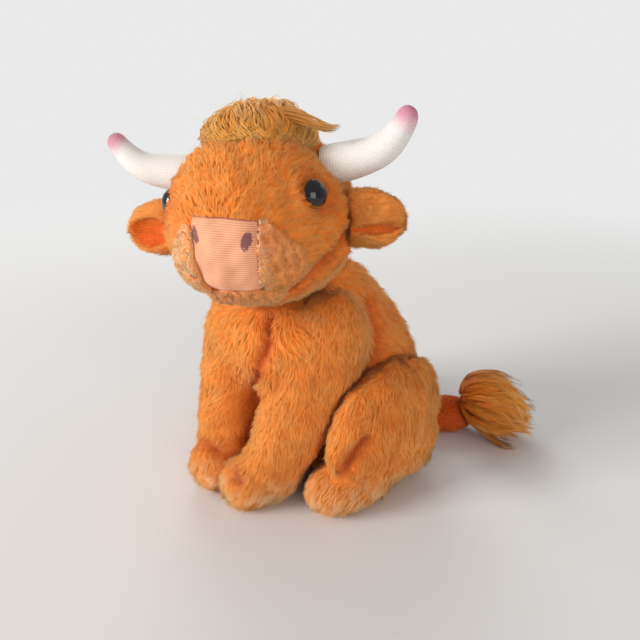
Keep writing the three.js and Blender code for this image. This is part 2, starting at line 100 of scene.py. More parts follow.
def fading_table():
    """A pale matt table that shades into the sky's own level far from the toy, for the camera's
    rays only, so that no hard horizon is seen."""
    made = plain_finish("pale_table", (0.80, 0.79, 0.77), 0.9)
    tree = made.node_tree
    far = tree.nodes.new("ShaderNodeVectorMath")
    far.operation = "LENGTH"
    tree.links.new(tree.nodes.new("ShaderNodeTexCoord").outputs["Object"], far.inputs[0])
    share = tree.nodes.new("ShaderNodeMapRange")
    share.interpolation_type = "SMOOTHSTEP"
    share.inputs["From Min"].default_value, share.inputs["From Max"].default_value = TABLE_FADES
    tree.links.new(far.outputs["Value"], share.inputs["Value"])
    seen = tree.nodes.new("ShaderNodeMath")
    seen.operation = "MULTIPLY"
    tree.links.new(tree.nodes.new("ShaderNodeLightPath").outputs["Is Camera Ray"], seen.inputs[0])
    tree.links.new(share.outputs[0], seen.inputs[1])
    glow = tree.nodes.new("ShaderNodeEmission")
    glow.inputs["Strength"].default_value = SKY_SEEN
    mix = tree.nodes.new("ShaderNodeMixShader")
    tree.links.new(seen.outputs[0], mix.inputs[0])
    tree.links.new(tree.nodes["Principled BSDF"].outputs[0], mix.inputs[1])
    tree.links.new(glow.outputs[0], mix.inputs[2])
    tree.links.new(mix.outputs[0], tree.nodes["Material Output"].inputs["Surface"])
    return made


TABLE_HALF = 3.0
table_mesh = bpy.data.meshes.new("table_top")
corners = [(x * TABLE_HALF, y * TABLE_HALF, 0) for x, y in ((-1, -1), (1, -1), (1, 1), (-1, 1))]
table_mesh.from_pydata(corners, [], [(0, 1, 2, 3)])
table_mesh.materials.append(fading_table())
table_top = bpy.data.objects.new("table_top", table_mesh)
bpy.context.scene.collection.objects.link(table_top)


LIT_POINT = Vector((0, 0, 0.08))


def soft_lamp(name, place, size, watts):
    """A square lamp that faces the toy's lower half."""
    light = bpy.data.lights.new(name, "AREA")
    light.size = size
    light.energy = watts
    lamp = bpy.data.objects.new(name, light)
    lamp.location = place
    lamp.rotation_euler = (LIT_POINT - Vector(place)).to_track_quat("-Z", "Y").to_euler()
    bpy.context.scene.collection.objects.link(lamp)


soft_lamp("window_lamp", (-1.15, -2.40, 1.03), 1.15, 67)
soft_lamp("fill_lamp", (1.75, -0.78, 0.50), 1.2, 12)
soft_lamp("back_lamp", (-1.1, 0.9, 0.9), 1.0, 10)

sky = bpy.data.worlds.new("sky")
sky.use_nodes = True
sky_nodes = sky.node_tree
seen_by_camera = sky_nodes.nodes.new("ShaderNodeLightPath").outputs["Is Camera Ray"]
sky_level = sky_nodes.nodes.new("ShaderNodeMath")
sky_level.operation = "MULTIPLY_ADD"
sky_level.inputs[1].default_value = SKY_SEEN - SKY_LIGHT
sky_level.inputs[2].default_value = SKY_LIGHT
sky_nodes.links.new(seen_by_camera, sky_level.inputs[0])
sky_nodes.nodes["Background"].inputs["Color"].default_value = (1, 1, 1, 1)
sky_nodes.links.new(sky_level.outputs[0], sky_nodes.nodes["Background"].inputs["Strength"])
bpy.context.scene.world = sky
bpy.context.scene.view_settings.view_transform = "Standard"

# %% [markdown]
# ## Shapes as formulas
# A stuffed part is an oval section that follows a smooth line through a few stations. The same
# formula and the same sizes made the solids, so these skins lie on them.

# %% Smooth lines and stuffed forms
def smooth_line(points, share):
    """Centripetal Catmull-Rom line through points, at shares of its way. Each stretch is a cubic,
    and its end slopes come from the neighbouring points, spaced by the root of their distance."""
    p = np.asarray(points, float)
    p = np.vstack([2 * p[0] - p[1], p, 2 * p[-1] - p[-2]])
    last = len(p) - 3
    at = np.clip(np.asarray(share, float) * last, 0, last)
    k = np.minimum(at.astype(int), last - 1)
    w = (at - k)[:, None]
    a, b, c, d = (p[k + i] for i in range(4))
    gaps = ((a, b), (b, c), (c, d))
    e, f, g = (np.linalg.norm(v - u, axis=1, keepdims=True) ** 0.5 for u, v in gaps)
    into = ((b - a) / e - (c - a) / (e + f) + (c - b) / f) * f
    away = ((c - b) / f - (d - b) / (f + g) + (d - c) / g) * f
    square, cube = 3 * (c - b) - 2 * into - away, 2 * (b - c) + into + away
    return b + w * into + w**2 * square + w**3 * cube


def unit(v):
    """Each row divided by its length."""
    return v / np.maximum(np.linalg.norm(v, axis=-1, keepdims=True), 1e-12)


def wobble(points, size, seed):
    """Smooth noise from about -1 to 1: the mean of five sine waves that cross at random."""
    random = np.random.default_rng(seed)
    ways = unit(random.normal(size=(5, 3))) * (2 * np.pi / (size * MM))
    phase = random.random(5) * 2 * np.pi
    return np.sin(points @ ways.T + phase).mean(1) * 1.6


def shares_of(rings, start=0.0):
    """The rings' places along a form: closer together near its ends, as half a cosine."""
    return start + (1 - start) * (1 - np.cos(np.pi * np.arange(rings + 1) / rings)) / 2


def stuffed_form(stations, side, blunt, rings=48, around=64, start=0.0):
    """Rings of a stuffed form in millimetres: centre line point plus the two half sizes, times the
    root of 1 - |2t - 1| to the power blunt, along the two directions square to the line."""
    stations = np.asarray(stations, float)
    t = shares_of(rings, start)
    centre = smooth_line(stations[:, :3], t)
    step = 1e-4
    ahead = unit(smooth_line(stations[:, :3], t + step) - smooth_line(stations[:, :3], t - step))
    across = unit(side - ahead * (ahead @ np.asarray(side, float))[:, None])
    deep = np.cross(ahead, across)
    half = smooth_line(np.pad(stations[:, 3:5], ((0, 0), (0, 1))), t)[:, :2]
    close = np.sqrt(np.maximum(0, 1 - np.abs(2 * t - 1) ** blunt))
    if start > 0:
        close[0] = 0
    angle = 2 * np.pi * np.arange(around) / around
    wide = (half[:, 0] * close)[:, None, None] * across[:, None] * np.cos(angle)[None, :, None]
    high = (half[:, 1] * close)[:, None, None] * deep[:, None] * np.sin(angle)[None, :, None]
    return centre[:, None] + wide + high


def tube_faces(rings, around):
    """Quads between neighbouring rings, and a fan of triangles to the pole at each end."""
    at = np.arange((rings - 1) * around).reshape(rings - 1, around)
    nxt = np.roll(at, -1, axis=1)
    quads = np.stack([at[:-1], nxt[:-1], nxt[1:], at[1:]], -1).reshape(-1, 4)
    first, last = (rings - 1) * around, (rings - 1) * around + 1
    fan = [np.stack([nxt[0], at[0], np.full(around, first)], -1)]
    fan.append(np.stack([at[-1], nxt[-1], np.full(around, last)], -1))
    return quads, np.vstack(fan)


def new_mesh(name, points, *faces):
    """A mesh object from arrays of points, in metres, and of faces of one size each."""
    mesh = bpy.data.meshes.new(name)
    faces = [f for f in faces if len(f)]
    loops = np.concatenate([f.ravel() for f in faces]).astype(np.int32)
    sizes = np.concatenate([np.full(len(f), f.shape[1]) for f in faces]).astype(np.int32)
    starts = np.concatenate([[0], np.cumsum(sizes)[:-1]]).astype(np.int32)
    mesh.vertices.add(len(points))
    mesh.vertices.foreach_set("co", np.asarray(points, np.float32).ravel())
    mesh.loops.add(len(loops))
    mesh.loops.foreach_set("vertex_index", loops)
    mesh.polygons.add(len(sizes))
    mesh.polygons.foreach_set("loop_start", starts)
    mesh.update(calc_edges=True)
    mesh.validate()
    mesh.shade_smooth()
    made = bpy.data.objects.new(name, mesh)
    bpy.context.scene.collection.objects.link(made)
    return made


def give_map(mesh, uv):
    """The piece's map, one place for each corner."""
    mesh.uv_layers.new(name="OFBake").data.foreach_set("uv", np.asarray(uv, np.float32).ravel())


def tube_map(mesh, along, around):
    """The map of tube_faces: across it the way round, up it the way along, at its rings' shares."""
    turn, low, high = np.arange(around) / around, along[1:-2, None], along[2:-1, None]
    whole = np.ones((len(along) - 3, around))
    left, right, low, high = turn * whole, (turn + 1 / around) * whole, low * whole, high * whole
    quads = np.stack([left, low, right, low, right, high, left, high], -1).reshape(-1, 2)
    one, half = np.ones(around), 0.5 / around
    first = [turn + 2 * half, along[1] * one, turn, along[1] * one, turn + half, along[0] * one]
    last = [turn, along[-2] * one, turn + 2 * half, along[-2] * one, turn + half, along[-1] * one]
    give_map(mesh, np.vstack([quads, *(np.stack(fan, -1).reshape(-1, 2) for fan in (first, last))]))


def form_object(name, rings_of_points, matrix=None, along=None):
    """A closed mesh from the rings of a stuffed form in millimetres, at shares along it."""
    points = rings_of_points * MM
    if matrix is not None:
        points = points @ np.array(matrix.to_3x3()).T + np.array(matrix.translation)
    rings, around = points.shape[0] - 1, points.shape[1]
    quads, fans = tube_faces(rings, around)
    flat = np.vstack([points[1:-1].reshape(-1, 3), points[0, :1], points[-1, :1]])
    made = new_mesh(name, flat, quads, fans)
    tube_map(made.data, shares_of(rings) if along is None else along, around)
    return faces_out(made)


def corners_of(mesh):
    """Each corner's point, each face's first corner and number of corners, and each corner's face."""
    point = np.empty(len(mesh.loops), np.int32)
    mesh.loops.foreach_get("vertex_index", point)
    total = np.empty(len(mesh.polygons), np.int32)
    mesh.polygons.foreach_get("loop_total", total)
    first = np.concatenate([[0], np.cumsum(total)[:-1]])
    return point, first, total, np.repeat(np.arange(len(total)), total)


def triangles_of(mesh):
    """A mesh's faces as rows of three point numbers."""
    mesh.calc_loop_triangles()
    tri = np.empty(len(mesh.loop_triangles) * 3, np.int32)
    mesh.loop_triangles.foreach_get("vertices", tri)
    return tri.reshape(-1, 3)


def faces_out(piece):
    """Turns a closed mesh's faces outwards: its volume, the sum of a . (b x c) / 6 over its
    triangles, must be positive."""
    a, b, c = points_of(piece)[triangles_of(piece.data)].transpose(1, 0, 2)
    if (a * np.cross(b, c)).sum() < 0:
        piece.data.flip_normals()
    return piece


# %% [markdown]
# ## The head's own directions
# The head is turned to the cow's left and tilted. Its pieces are worked out in the head's
# directions, side, back and up, and then laid where the head is.

# %% Head frame
HEAD_PLACE = Vector((0, -33, 140)) * MM
HEAD_TURN = Euler((0, radians(-5.5), radians(26)))
HEAD_MATRIX = Matrix.Translation(HEAD_PLACE) @ HEAD_TURN.to_matrix().to_4x4()
HEAD_TURNED = np.array(HEAD_MATRIX.to_3x3())


def into_head(points):
    """World points, in metres, as points in the head's directions, in millimetres."""
    return (points - np.array(HEAD_PLACE)) @ HEAD_TURNED / MM


def out_of_head(points):
    """Points in the head's directions, in millimetres, as world points in metres."""
    return points * MM @ HEAD_TURNED.T + np.array(HEAD_PLACE)


# %% [markdown]
# ## Skins over the solids
# A padded part starts as a copy of its solid. Voxels make one even skin of it, smoothing takes
# the steps off, the seams are pressed in, and a short cloth simulation that is held at the seams
# blows it up between them, as stuffing does.

# %% Meshes as arrays
def points_of(piece):
    """A piece's points as rows of x, y and z, in metres."""
    co = np.empty(len(piece.data.vertices) * 3, np.float32)
    piece.data.vertices.foreach_get("co", co)
    return co.reshape(-1, 3).astype(float)


def normals_of(piece):
    """The smooth normal at each point of a piece."""
    no = np.empty(len(piece.data.vertices) * 3, np.float32)
    piece.data.vertex_normals.foreach_get("vector", no)
    return no.reshape(-1, 3).astype(float)


def set_points(piece, points):
    """Puts the points of a piece at new places."""
    piece.data.vertices.foreach_set("co", np.asarray(points, np.float32).ravel())
    piece.data.update()


def stacked(meshes):
    """The points and the triangles of several (points, triangles) pairs as one pair."""
    points, triangles, start = [], [], 0
    for places, faces in meshes:
        points.append(places)
        triangles.append(faces + start)
        start += len(places)
    return np.vstack(points), np.vstack(triangles)


def tree_of(*pieces, seen_from=lambda points: points):
    """A search tree over the meshes of these pieces, with their points as seen_from gives them."""
    points, faces = stacked((seen_from(points_of(piece)), triangles_of(piece.data)) for piece in pieces)
    return BVHTree.FromPolygons(points.tolist(), faces.tolist())


# %% Remeshed and swollen skins
def applied(piece):
    """The piece with its modifiers applied to its mesh."""
    graph = bpy.context.evaluated_depsgraph_get()
    done = bpy.data.meshes.new_from_object(piece.evaluated_get(graph))
    piece.modifiers.clear()
    piece.data = done
    piece.data.shade_smooth()
    return piece


def main_shell(piece):
    """Merges the copy's loose triangles, and keeps only its largest connected shell."""
    work = bmesh.new()
    work.from_mesh(piece.data)
    bmesh.ops.remove_doubles(work, verts=work.verts, dist=1e-6)
    left, shells = set(work.verts), []
    while left:
        shell, front = set(), [left.pop()]
        while front:
            vertex = front.pop()
            shell.add(vertex)
            for edge in vertex.link_edges:
                other = edge.other_vert(vertex)
                if other in left:
                    left.discard(other)
                    front.append(other)
        shells.append(shell)
    shells.sort(key=len)
    for shell in shells[:-1]:
        bmesh.ops.delete(work, geom=list(shell), context="VERTS")
    work.to_mesh(piece.data)
    work.free()
    return piece


def voxelled(piece, voxel, smoothing):
    """The piece as even quads of about voxel millimetres, each point then averaged with its
    neighbours so many times."""
    remesh = piece.modifiers.new("voxels", "REMESH")
    remesh.mode = "VOXEL"
    remesh.voxel_size = voxel * MM
    smooth = piece.modifiers.new("smooth", "SMOOTH")
    smooth.factor = 0.5
    smooth.iterations = smoothing
    return applied(piece)


def even_skin(name, node, voxel=2.0, smoothing=6, sink_by=0.0, forms=()):
    """One skin of even quads over a copy of a solid: voxel remesh, then averaging of neighbours.
    sink_by draws it in by so many millimetres, and forms are more closed shapes to grow into it."""
    piece = bpy.data.objects.new(name, NODES[node].data.copy())
    bpy.context.scene.collection.objects.link(piece)
    main_shell(piece)
    for form in forms:
        add_shape(piece, form)
    voxelled(piece, voxel, smoothing)
    set_points(piece, points_of(piece) - normals_of(piece) * sink_by * MM)
    return piece


def add_shape(piece, form):
    """Adds the faces of another closed shape to a piece's mesh, and removes the shape."""
    both = stacked((points_of(each), triangles_of(each.data)) for each in (piece, form))
    whole = new_mesh(piece.name, *both)
    piece.data = whole.data
    bpy.data.objects.remove(whole)
    bpy.data.objects.remove(form)


SWELL, PRESSURE, SIMULATED_FRAMES = 1.3, 4.0, 20
FLAT_UNDER, CLEAR_OF_TABLE = 1.5 * MM, 0.2 * MM


def swollen(piece, held):
    """The skin blown up by a cloth simulation. held, from 0 to 1, pins its seams, and no point
    moves by more than SWELL millimetres or below the table."""
    rest = points_of(piece)
    pins = piece.vertex_groups.new(name="seams")
    steps = np.round(held, 1)
    for level in np.unique(steps[steps > 0]):
        pins.add(np.flatnonzero(steps == level).tolist(), float(level), "REPLACE")
    cloth = piece.modifiers.new("stuffing", "CLOTH")
    cloth.settings.vertex_group_mass = "seams"
    cloth.settings.use_pressure = True
    cloth.settings.uniform_pressure_force = PRESSURE
    cloth.settings.effector_weights.gravity = 0
    cloth.settings.quality = 4
    cloth.point_cache.frame_start = 1
    cloth.point_cache.frame_end = SIMULATED_FRAMES
    for number in range(1, SIMULATED_FRAMES + 1):
        bpy.context.scene.frame_set(number)
    applied(piece)
    bpy.context.scene.frame_set(1)
    move = points_of(piece) - rest
    far = np.linalg.norm(move, axis=1, keepdims=True)
    move *= np.minimum(1, SWELL * MM / np.maximum(far, 1e-9))
    points, low = rest + move, rest[:, 2] < FLAT_UNDER
    points[:, 2] = np.where(low, rest[:, 2], np.maximum(points[:, 2], CLEAR_OF_TABLE))
    set_points(piece, points)
    most = float(np.linalg.norm(move, axis=1).max()) / MM
    print(piece.name, "swells by up to", round(most, 2), "mm")
    return piece


# %% [markdown]
# The solids are plain, so two fuller forms grow into these skins: the chest, which hides the tops
# of the forelegs as on the real toy, and the tall thigh, which stands from the flank down to the
# toes. Each is a stuffed form again, so it needs only a few stations.

# %% Trunk and leg skins
CHEST = [
    (36, -27, 79, 13, 12),
    (22, -29, 80, 16, 21),
    (0, -31, 80, 17.5, 24),
    (-22, -29, 80, 16, 21),
    (-36, -27, 79, 13, 12),
]
THIGH = [
    (42, 41, 28, 11, 22),
    (46, 22, 34, 16.5, 33),
    (47.5, 0, 36, 17, 34),
    (46, -20, 35.5, 14.5, 31),
    (43, -37, 32, 10.5, 20),
]
FORM_BLUNT = 3
LEGS = ["front_leg_left", "front_leg_right", "hind_leg_left", "hind_leg_right"]


def fuller_forms(name):
    """The extra forms of a skin: the chest, a thigh on either side, or none."""
    if name == "trunk":
        return [form_object("chest", stuffed_form(CHEST, BACK, FORM_BLUNT))]
    if name.startswith("hind"):
        stations = np.array(THIGH) * [1 if name.endswith("left") else -1, 1, 1, 1, 1]
        return [form_object("thigh", stuffed_form(stations, SIDE, FORM_BLUNT))]
    return []


skins = {}
for node in ["trunk", *LEGS]:
    skins[node] = even_skin(node + "_cover", node, forms=fuller_forms(node))
    print(node, "skin", len(skins[node].data.vertices), "points")

# %% [markdown]
# ## Head
# The head is one stuffed form. The solid has pockets for the eyes, washers and panels, which are
# too fine for voxels, so this skin comes from the formula, and only the dimple below, where the
# head sits on the wad of stuffing in the neck, is taken from the solid.

# %% Head form
HEAD_STATIONS = [
    (0, 37, 1, 29, 29),
    (0, 18, 2, 39, 38),
    (0, -6, -1, 40.5, 38),
    (0, -27, -6, 34, 31),
    (0, -48, -12.5, 24, 22.5),
]
HEAD_BLUNT, HEAD_RINGS, HEAD_AROUND = 3, 100, 132
NECK_TOP = np.array([0, -20, 121])
neck_way = unit(into_head(NECK_TOP * MM)[None])[0]
DIMPLE_REACH = radians(62)
EYE_ASIDE, EYE_ABOVE = radians(53), radians(17.5)
WELL_OUTSIDE = 90


def eye_way(hand):
    """The direction of an eye from the head's middle, by its angles aside and above."""
    level = np.cos(EYE_ABOVE)
    return np.array([hand * level * np.sin(EYE_ASIDE), -level * np.cos(EYE_ASIDE), np.sin(EYE_ABOVE)])


def dimpled(points, solid):
    """Points near the neck, in the head's directions, drawn in along their own direction as far as
    the solid's dimple is deep there."""
    way, far = unit(points), np.linalg.norm(points, axis=1)
    near = np.flatnonzero(way @ neck_way > np.cos(DIMPLE_REACH))
    outside = out_of_head(way[near] * WELL_OUTSIDE)
    middle = out_of_head(np.zeros((1, 3)))[0]
    for i, start in zip(near, outside):
        hit = solid.ray_cast(Vector(start), Vector(middle - start))
        if hit[0] is not None:
            far[i] = min(far[i], WELL_OUTSIDE - hit[3] / MM)
    return way * far[:, None]


head_form = stuffed_form(HEAD_STATIONS, SIDE, HEAD_BLUNT, HEAD_RINGS, HEAD_AROUND)
head_skin = form_object("head_cover", head_form, HEAD_MATRIX)
head_points = dimpled(into_head(points_of(head_skin)), tree_of(NODES["head"]))
set_points(head_skin, out_of_head(head_points))
plain_head = tree_of(head_skin)
print("head", len(head_points), "points")

# %% [markdown]
# ## Fuller covers
# Stuffing is soft, so neighbouring parts press into one shape, and where a leg leaves the trunk
# there is a shallow hollow and no sharp groove. One skin over everything shows how far each cover
# rises there. The cloth is also never quite even, so slow lumps go over it all.

# %% Press the parts together
def step_between(values, low, high):
    """0 below low and 1 above high, with a smooth slope between."""
    t = np.clip((values - low) / (high - low), 0, 1)
    return t * t * (3 - 2 * t)


def moved(piece, move):
    """A skin with its points moved by move(points, normals), all in millimetres."""
    points, normals = points_of(piece) / MM, normals_of(piece)
    points = points + move(points, normals)
    points[:, 2] = np.maximum(points[:, 2], 0)
    set_points(piece, points * MM)


def only_off_the_table(p, n):
    """No move of its own, so that moved() only lifts what smoothing pulled below the table."""
    return 0 * p


def closer_foreleg(p, n):
    """Inwards by up to 4.5 mm, on the inner side of a foreleg down to its paw."""
    hand = np.sign(p[:, 0].mean())
    share = np.clip(-n[:, 0] * hand * 1.6, 0, 1) * step_between(p[:, 2], 34, 52)
    share = share * (1 - step_between(p[:, 2], 100, 110))
    return -SIDE * (hand * 4.5 * share)[:, None]


def skin_over_all(pieces, reach):
    """A search tree over one skin that spans the valleys between pieces: every piece grows by reach
    millimetres, voxels unite them, and the union shrinks by as much again."""
    grown = (
        (points_of(piece) + normals_of(piece) * reach * MM, triangles_of(piece.data)) for piece in pieces
    )
    union = new_mesh("front_covers", *stacked(grown))
    voxelled(union, 2.4, 6)
    set_points(union, points_of(union) - normals_of(union) * reach * MM)
    tree = tree_of(union)
    bpy.data.objects.remove(union)
    return tree


def raised_to(tree, most, window):
    """Out along the normals, nearly to a skin that lies up to most millimetres outside, times a
    window from 0 to 1."""
    def move(p, n):
        rise = np.zeros(len(p))
        for i, (place, way) in enumerate(zip((p * MM).tolist(), n.tolist())):
            hit = tree.ray_cast(place, way, 1.5 * most * MM)
            if hit[0] is not None and hit[1].dot(Vector(way)) > 0.2:
                rise[i] = hit[3] / MM
        rise = rise * (1 - step_between(rise, most, 1.4 * most)) * window(p)
        return n * (0.92 * rise)[:, None]
    return move


def but_the_arch(p):
    """1 everywhere but in the open arch between the forelegs, near the table and at the thighs."""
    arch = (1 - step_between(np.abs(p[:, 0]), 9, 17)) * (1 - step_between(p[:, 2], 52, 60))
    thigh = step_between(p[:, 1], -16, -6) * (1 - step_between(p[:, 2], 66, 80))
    return (1 - arch) * (1 - thigh) * step_between(p[:, 2], 30, 46)


def fuller_shoulder(p, n):
    """Outwards by up to 3.4 mm over the cow's right shoulder, the better filled one."""
    share = step_between(-p[:, 0], 14, 34) * (1 - step_between(p[:, 1], -2, 16))
    share = share * step_between(p[:, 2], 36, 66) * (1 - step_between(p[:, 2], 98, 114))
    return n * (3.4 * share * np.clip(0.3 - n[:, 0], 0, 1))[:, None]


def lumpy(size, height, seed):
    """In and out along the normals by slow noise and a finer one of half its size."""
    def move(p, n):
        """The way that each point goes."""
        waves = wobble(p * MM, size, seed) + 0.6 * wobble(p * MM, size / 2, seed + 1)
        return n * (height * waves * step_between(p[:, 2], 1, 6))[:, None]
    return move


for leg in LEGS:
    moved(skins[leg], closer_foreleg if leg.startswith("front") else only_off_the_table)
FRONT_COVERS = ["trunk", "front_leg_left", "front_leg_right"]
VALLEY_REACH, MOST_RISE = 6.5, 6.0
over_front = skin_over_all([skins[name] for name in FRONT_COVERS], VALLEY_REACH)
for name in FRONT_COVERS:
    moved(skins[name], raised_to(over_front, MOST_RISE, but_the_arch))
for name in ("trunk", "front_leg_right"):
    moved(skins[name], fuller_shoulder)
for index, name in enumerate(["trunk", *LEGS]):
    moved(skins[name], lumpy(16, 0.6, 200 + 10 * index))
moved(head_skin, lumpy(11, 0.55, 260))

# %% [markdown]
# ## Creases
# Seams and pulls show as soft grooves in the pile, and painted shade darkens the pile in them. Each
# is a line of pixels in the photograph, found again on the skin and pressed in. The mouth is a deep
# crease that pulls up into the cheek, and each eye's shank pulls a small hollow into the cloth.

# %% Press the creases in
def bells(points, line, width):
    """exp of minus the square of each point's distance from a line of points, over width."""
    far = np.full(len(points), np.inf)
    for a, b in zip(line[:-1], line[1:]):
        run = b - a
        t = np.clip((points - a) @ run / max(run @ run, 1e-12), 0, 1)
        far = np.minimum(far, np.linalg.norm(points - a - t[:, None] * run, axis=1))
    return np.exp(-((far / width) ** 2))


def seen_at(tree, pixels):
    """The places on a skin that the photograph's camera sees at these pixels."""
    hits = [tree.ray_cast(Vector(CAMERA_PLACE), ray_of(*p))[0] for p in pixels]
    return np.array([h for h in hits if h is not None])


LIP_WIDTH, LIP_HEIGHT, FULL_FOLD = 2.4, 0.3, 2.6


def creased(piece, lines, mirror=None):
    """Presses grooves, given as (pixels, width, depth) in pixels and millimetres, into a skin: each
    is a bell across its line, with a low lip on either side. Returns how much each point lies in
    one, which later pins the cloth there, shortens its pile and gives it painted shade."""
    tree = tree_of(piece)
    points, normals = points_of(piece), normals_of(piece)
    deep = np.zeros(len(points))
    for pixels, width, depth in lines:
        line = seen_at(tree, pixels)
        if len(line) < 2:
            print("no crease on", piece.name, pixels)
            continue
        for each in [line] if mirror is None else [line, mirror(line)]:
            bell = bells(points, each, width * MM)
            lips = bells(points, each, LIP_WIDTH * width * MM) - bell
            points = points - normals * (depth * MM * (bell - LIP_HEIGHT * lips))[:, None]
            deep = np.maximum(deep, np.sqrt(bell) * min(1, depth / FULL_FOLD))
    points[:, 2] = np.maximum(points[:, 2], 0)
    set_points(piece, points)
    return deep


def other_side(line):
    """The same crease on the toy's other side."""
    return line * [-1, 1, 1]


def other_side_of_head(line):
    """The same crease on the head's other side."""
    return out_of_head(into_head(line) * [-1, 1, 1])


SMILE = [(345, 237), (337, 247), (330, 257), (316, 268), (300, 277), (289, 289)]
CHEST_SEAM = [(270, 318), (269, 340), (264, 354), (257, 376), (254, 397)]
SHOULDER_FOLD = [(366, 298), (374, 324), (376, 342), (374, 359)]
NECK_FOLD = [(357, 312), (352, 324), (345, 336)]
THIGH_TOP = [(423, 356), (397, 362), (376, 378), (356, 397)]
ANKLE = [(366, 438), (359, 448), (352, 459), (346, 468)]
LEFT_TOES, RIGHT_TOES = [(230, 462), (237, 470), (241, 480)], [(204, 440), (211, 443), (219, 447)]
on_right_foreleg = [(RIGHT_TOES, 2.5, 2.2), (CHEST_SEAM, 2.4, 1.6)]
on_both_sides = [(SHOULDER_FOLD, 3.0, 2.2), (NECK_FOLD, 4.0, 1.4), (THIGH_TOP, 3.0, 2.0)]
creases = {
    "head": creased(head_skin, [(SMILE, 3.4, 7.0)], other_side_of_head),
    "trunk": np.maximum(
        creased(skins["trunk"], [(CHEST_SEAM, 2.6, 2.6)]),
        creased(skins["trunk"], on_both_sides, other_side),
    ),
    "front_leg_left": creased(skins["front_leg_left"], [(LEFT_TOES, 2.6, 2.2)]),
    "front_leg_right": creased(skins["front_leg_right"], on_right_foreleg),
    "hind_leg_left": creased(skins["hind_leg_left"], [(ANKLE, 2.8, 2.8)]),
    "hind_leg_right": creased(skins["hind_leg_right"], []),
}
for name in creases:
    print(name, "lies in a crease at", int((creases[name] > 0.5).sum()), "points")

# %% Hollows of the eyes and horns
EYE_HOLLOW, EYE_SINKS = 9.5, 1.0
LID_RING, LID_WIDTH, LID_HEIGHT = 8.0, 2.2, 3.0
HORN_LINE = np.array([(20.0, 0, 20), (34, 1, 21), (46, 2, 22)])
HORN_HOLLOW, HORN_SINKS = 11.5, 4.0
points, normals = points_of(head_skin), normals_of(head_skin)
eye_hollow_shade = np.zeros(len(points))
for hand in (1, -1):
    along = into_head(points) @ eye_way(hand)
    aside = np.linalg.norm(into_head(points) - along[:, None] * eye_way(hand), axis=1)
    bell = np.exp(-((aside / EYE_HOLLOW) ** 4)) * (along > 0)
    nose_side = into_head(points) @ unit(np.array([-0.8 * hand, -0.6, 0.35]))
    lid = np.exp(-(((aside - LID_RING) / LID_WIDTH) ** 2)) * (along > 0)
    lid = lid * step_between(nose_side, -14, 0)
    points = points - normals * (MM * (EYE_SINKS * bell - LID_HEIGHT * lid))[:, None]
    eye_hollow_shade = np.maximum(eye_hollow_shade, bell * np.clip((aside - 3) / 3, 0, 1))
horn_hollow_shade = np.zeros(len(points))
for hand in (1, -1):
    bell = bells(into_head(points), HORN_LINE * [hand, 1, 1], HORN_HOLLOW)
    bell = bell * step_between(hand * into_head(points)[:, 0], 16, 26)
    points = points - normals * (HORN_SINKS * MM * bell)[:, None]
    horn_hollow_shade = np.maximum(horn_hollow_shade, bell)
set_points(head_skin, points)
# Painted shade: the hollows round the eyes and the horns take the darker, redder colour of the creases.
creases["head"] = np.maximum.reduce([creases["head"], 0.8 * eye_hollow_shade, 0.45 * horn_hollow_shade])

# %% [markdown]
# In hollows between parts the pile is pressed, and painted shade makes it darker and redder. Rays
# from each point show how much of its sky the neighbouring covers take.

# %% Hollows
RAYS, RAY_REACH = 14, 16


def hidden_share(piece, tree):
    """The share of rays, spread over the half sphere on a point's normal, that meet a cover within
    their reach."""
    random = np.random.default_rng(5)
    ways = unit(random.normal(size=(RAYS, 3)))
    points, normals = points_of(piece), normals_of(piece)
    start = (points + normals * 0.8 * MM).tolist()
    blocked = np.zeros(len(points))
    for way in ways:
        facing = normals @ way
        turned_out = (way - normals * (2 * np.minimum(facing, 0))[:, None]).tolist()
        blocked += [tree.ray_cast(p, w, RAY_REACH * MM)[0] is not None for p, w in zip(start, turned_out)]
    return blocked / RAYS


covers_tree = tree_of(*skins.values())
for name in skins:
    hidden = hidden_share(skins[name], covers_tree)
    # Painted shade: where more of a point's sky is hidden, its pile takes more of the darker, redder colour
    # of the creases.
    creases[name] = np.maximum(creases[name], 0.75 * step_between(hidden, 0.3, 0.85))
    print(name, "has", round(float(hidden.mean()), 2), "of its sky hidden")

# %% [markdown]
# ## Stuffing pressure
# The muzzle, the hollows of the eyes and horns and the dimple at the neck are held by stitches and
# shanks, and everything that touches the table stays flat.

# %% Blow the covers up
def held_places(name):
    """How firmly each point of a cover is held, from 0 to 1: at its creases, low down, and on the
    head at the muzzle and the neck."""
    points = points_of(head_skin if name == "head" else skins[name])
    held = np.clip(creases[name] * 1.3, 0, 1)
    if name != "head":
        return np.maximum(held, np.clip((3 * MM - points[:, 2]) / (2 * MM), 0, 1))
    local = into_head(points)
    muzzle = np.clip((-local[:, 1] - 36) / 6, 0, 1)
    neck = np.clip((unit(local) @ neck_way - np.cos(radians(60))) * 8, 0, 1)
    return np.maximum.reduce([held, muzzle, neck])


for name in ["trunk", *LEGS]:
    swollen(skins[name], held_places(name))
swollen(head_skin, held_places("head"))

# %% [markdown]
# ## Pile
# Pile cloth is thousands of fibres that lean one way and cling together in small locks. Blender's
# hair would not reach the exported model, so each fibre is a closed three-sided spike, all of them
# worked out at once. Short pile takes four triangles a fibre, and long wavy pile a few more.

# %% Fibres
SQUARE = np.array([(0.15, 0.15), (0.85, 0.15), (0.85, 0.85), (0.15, 0.85)])


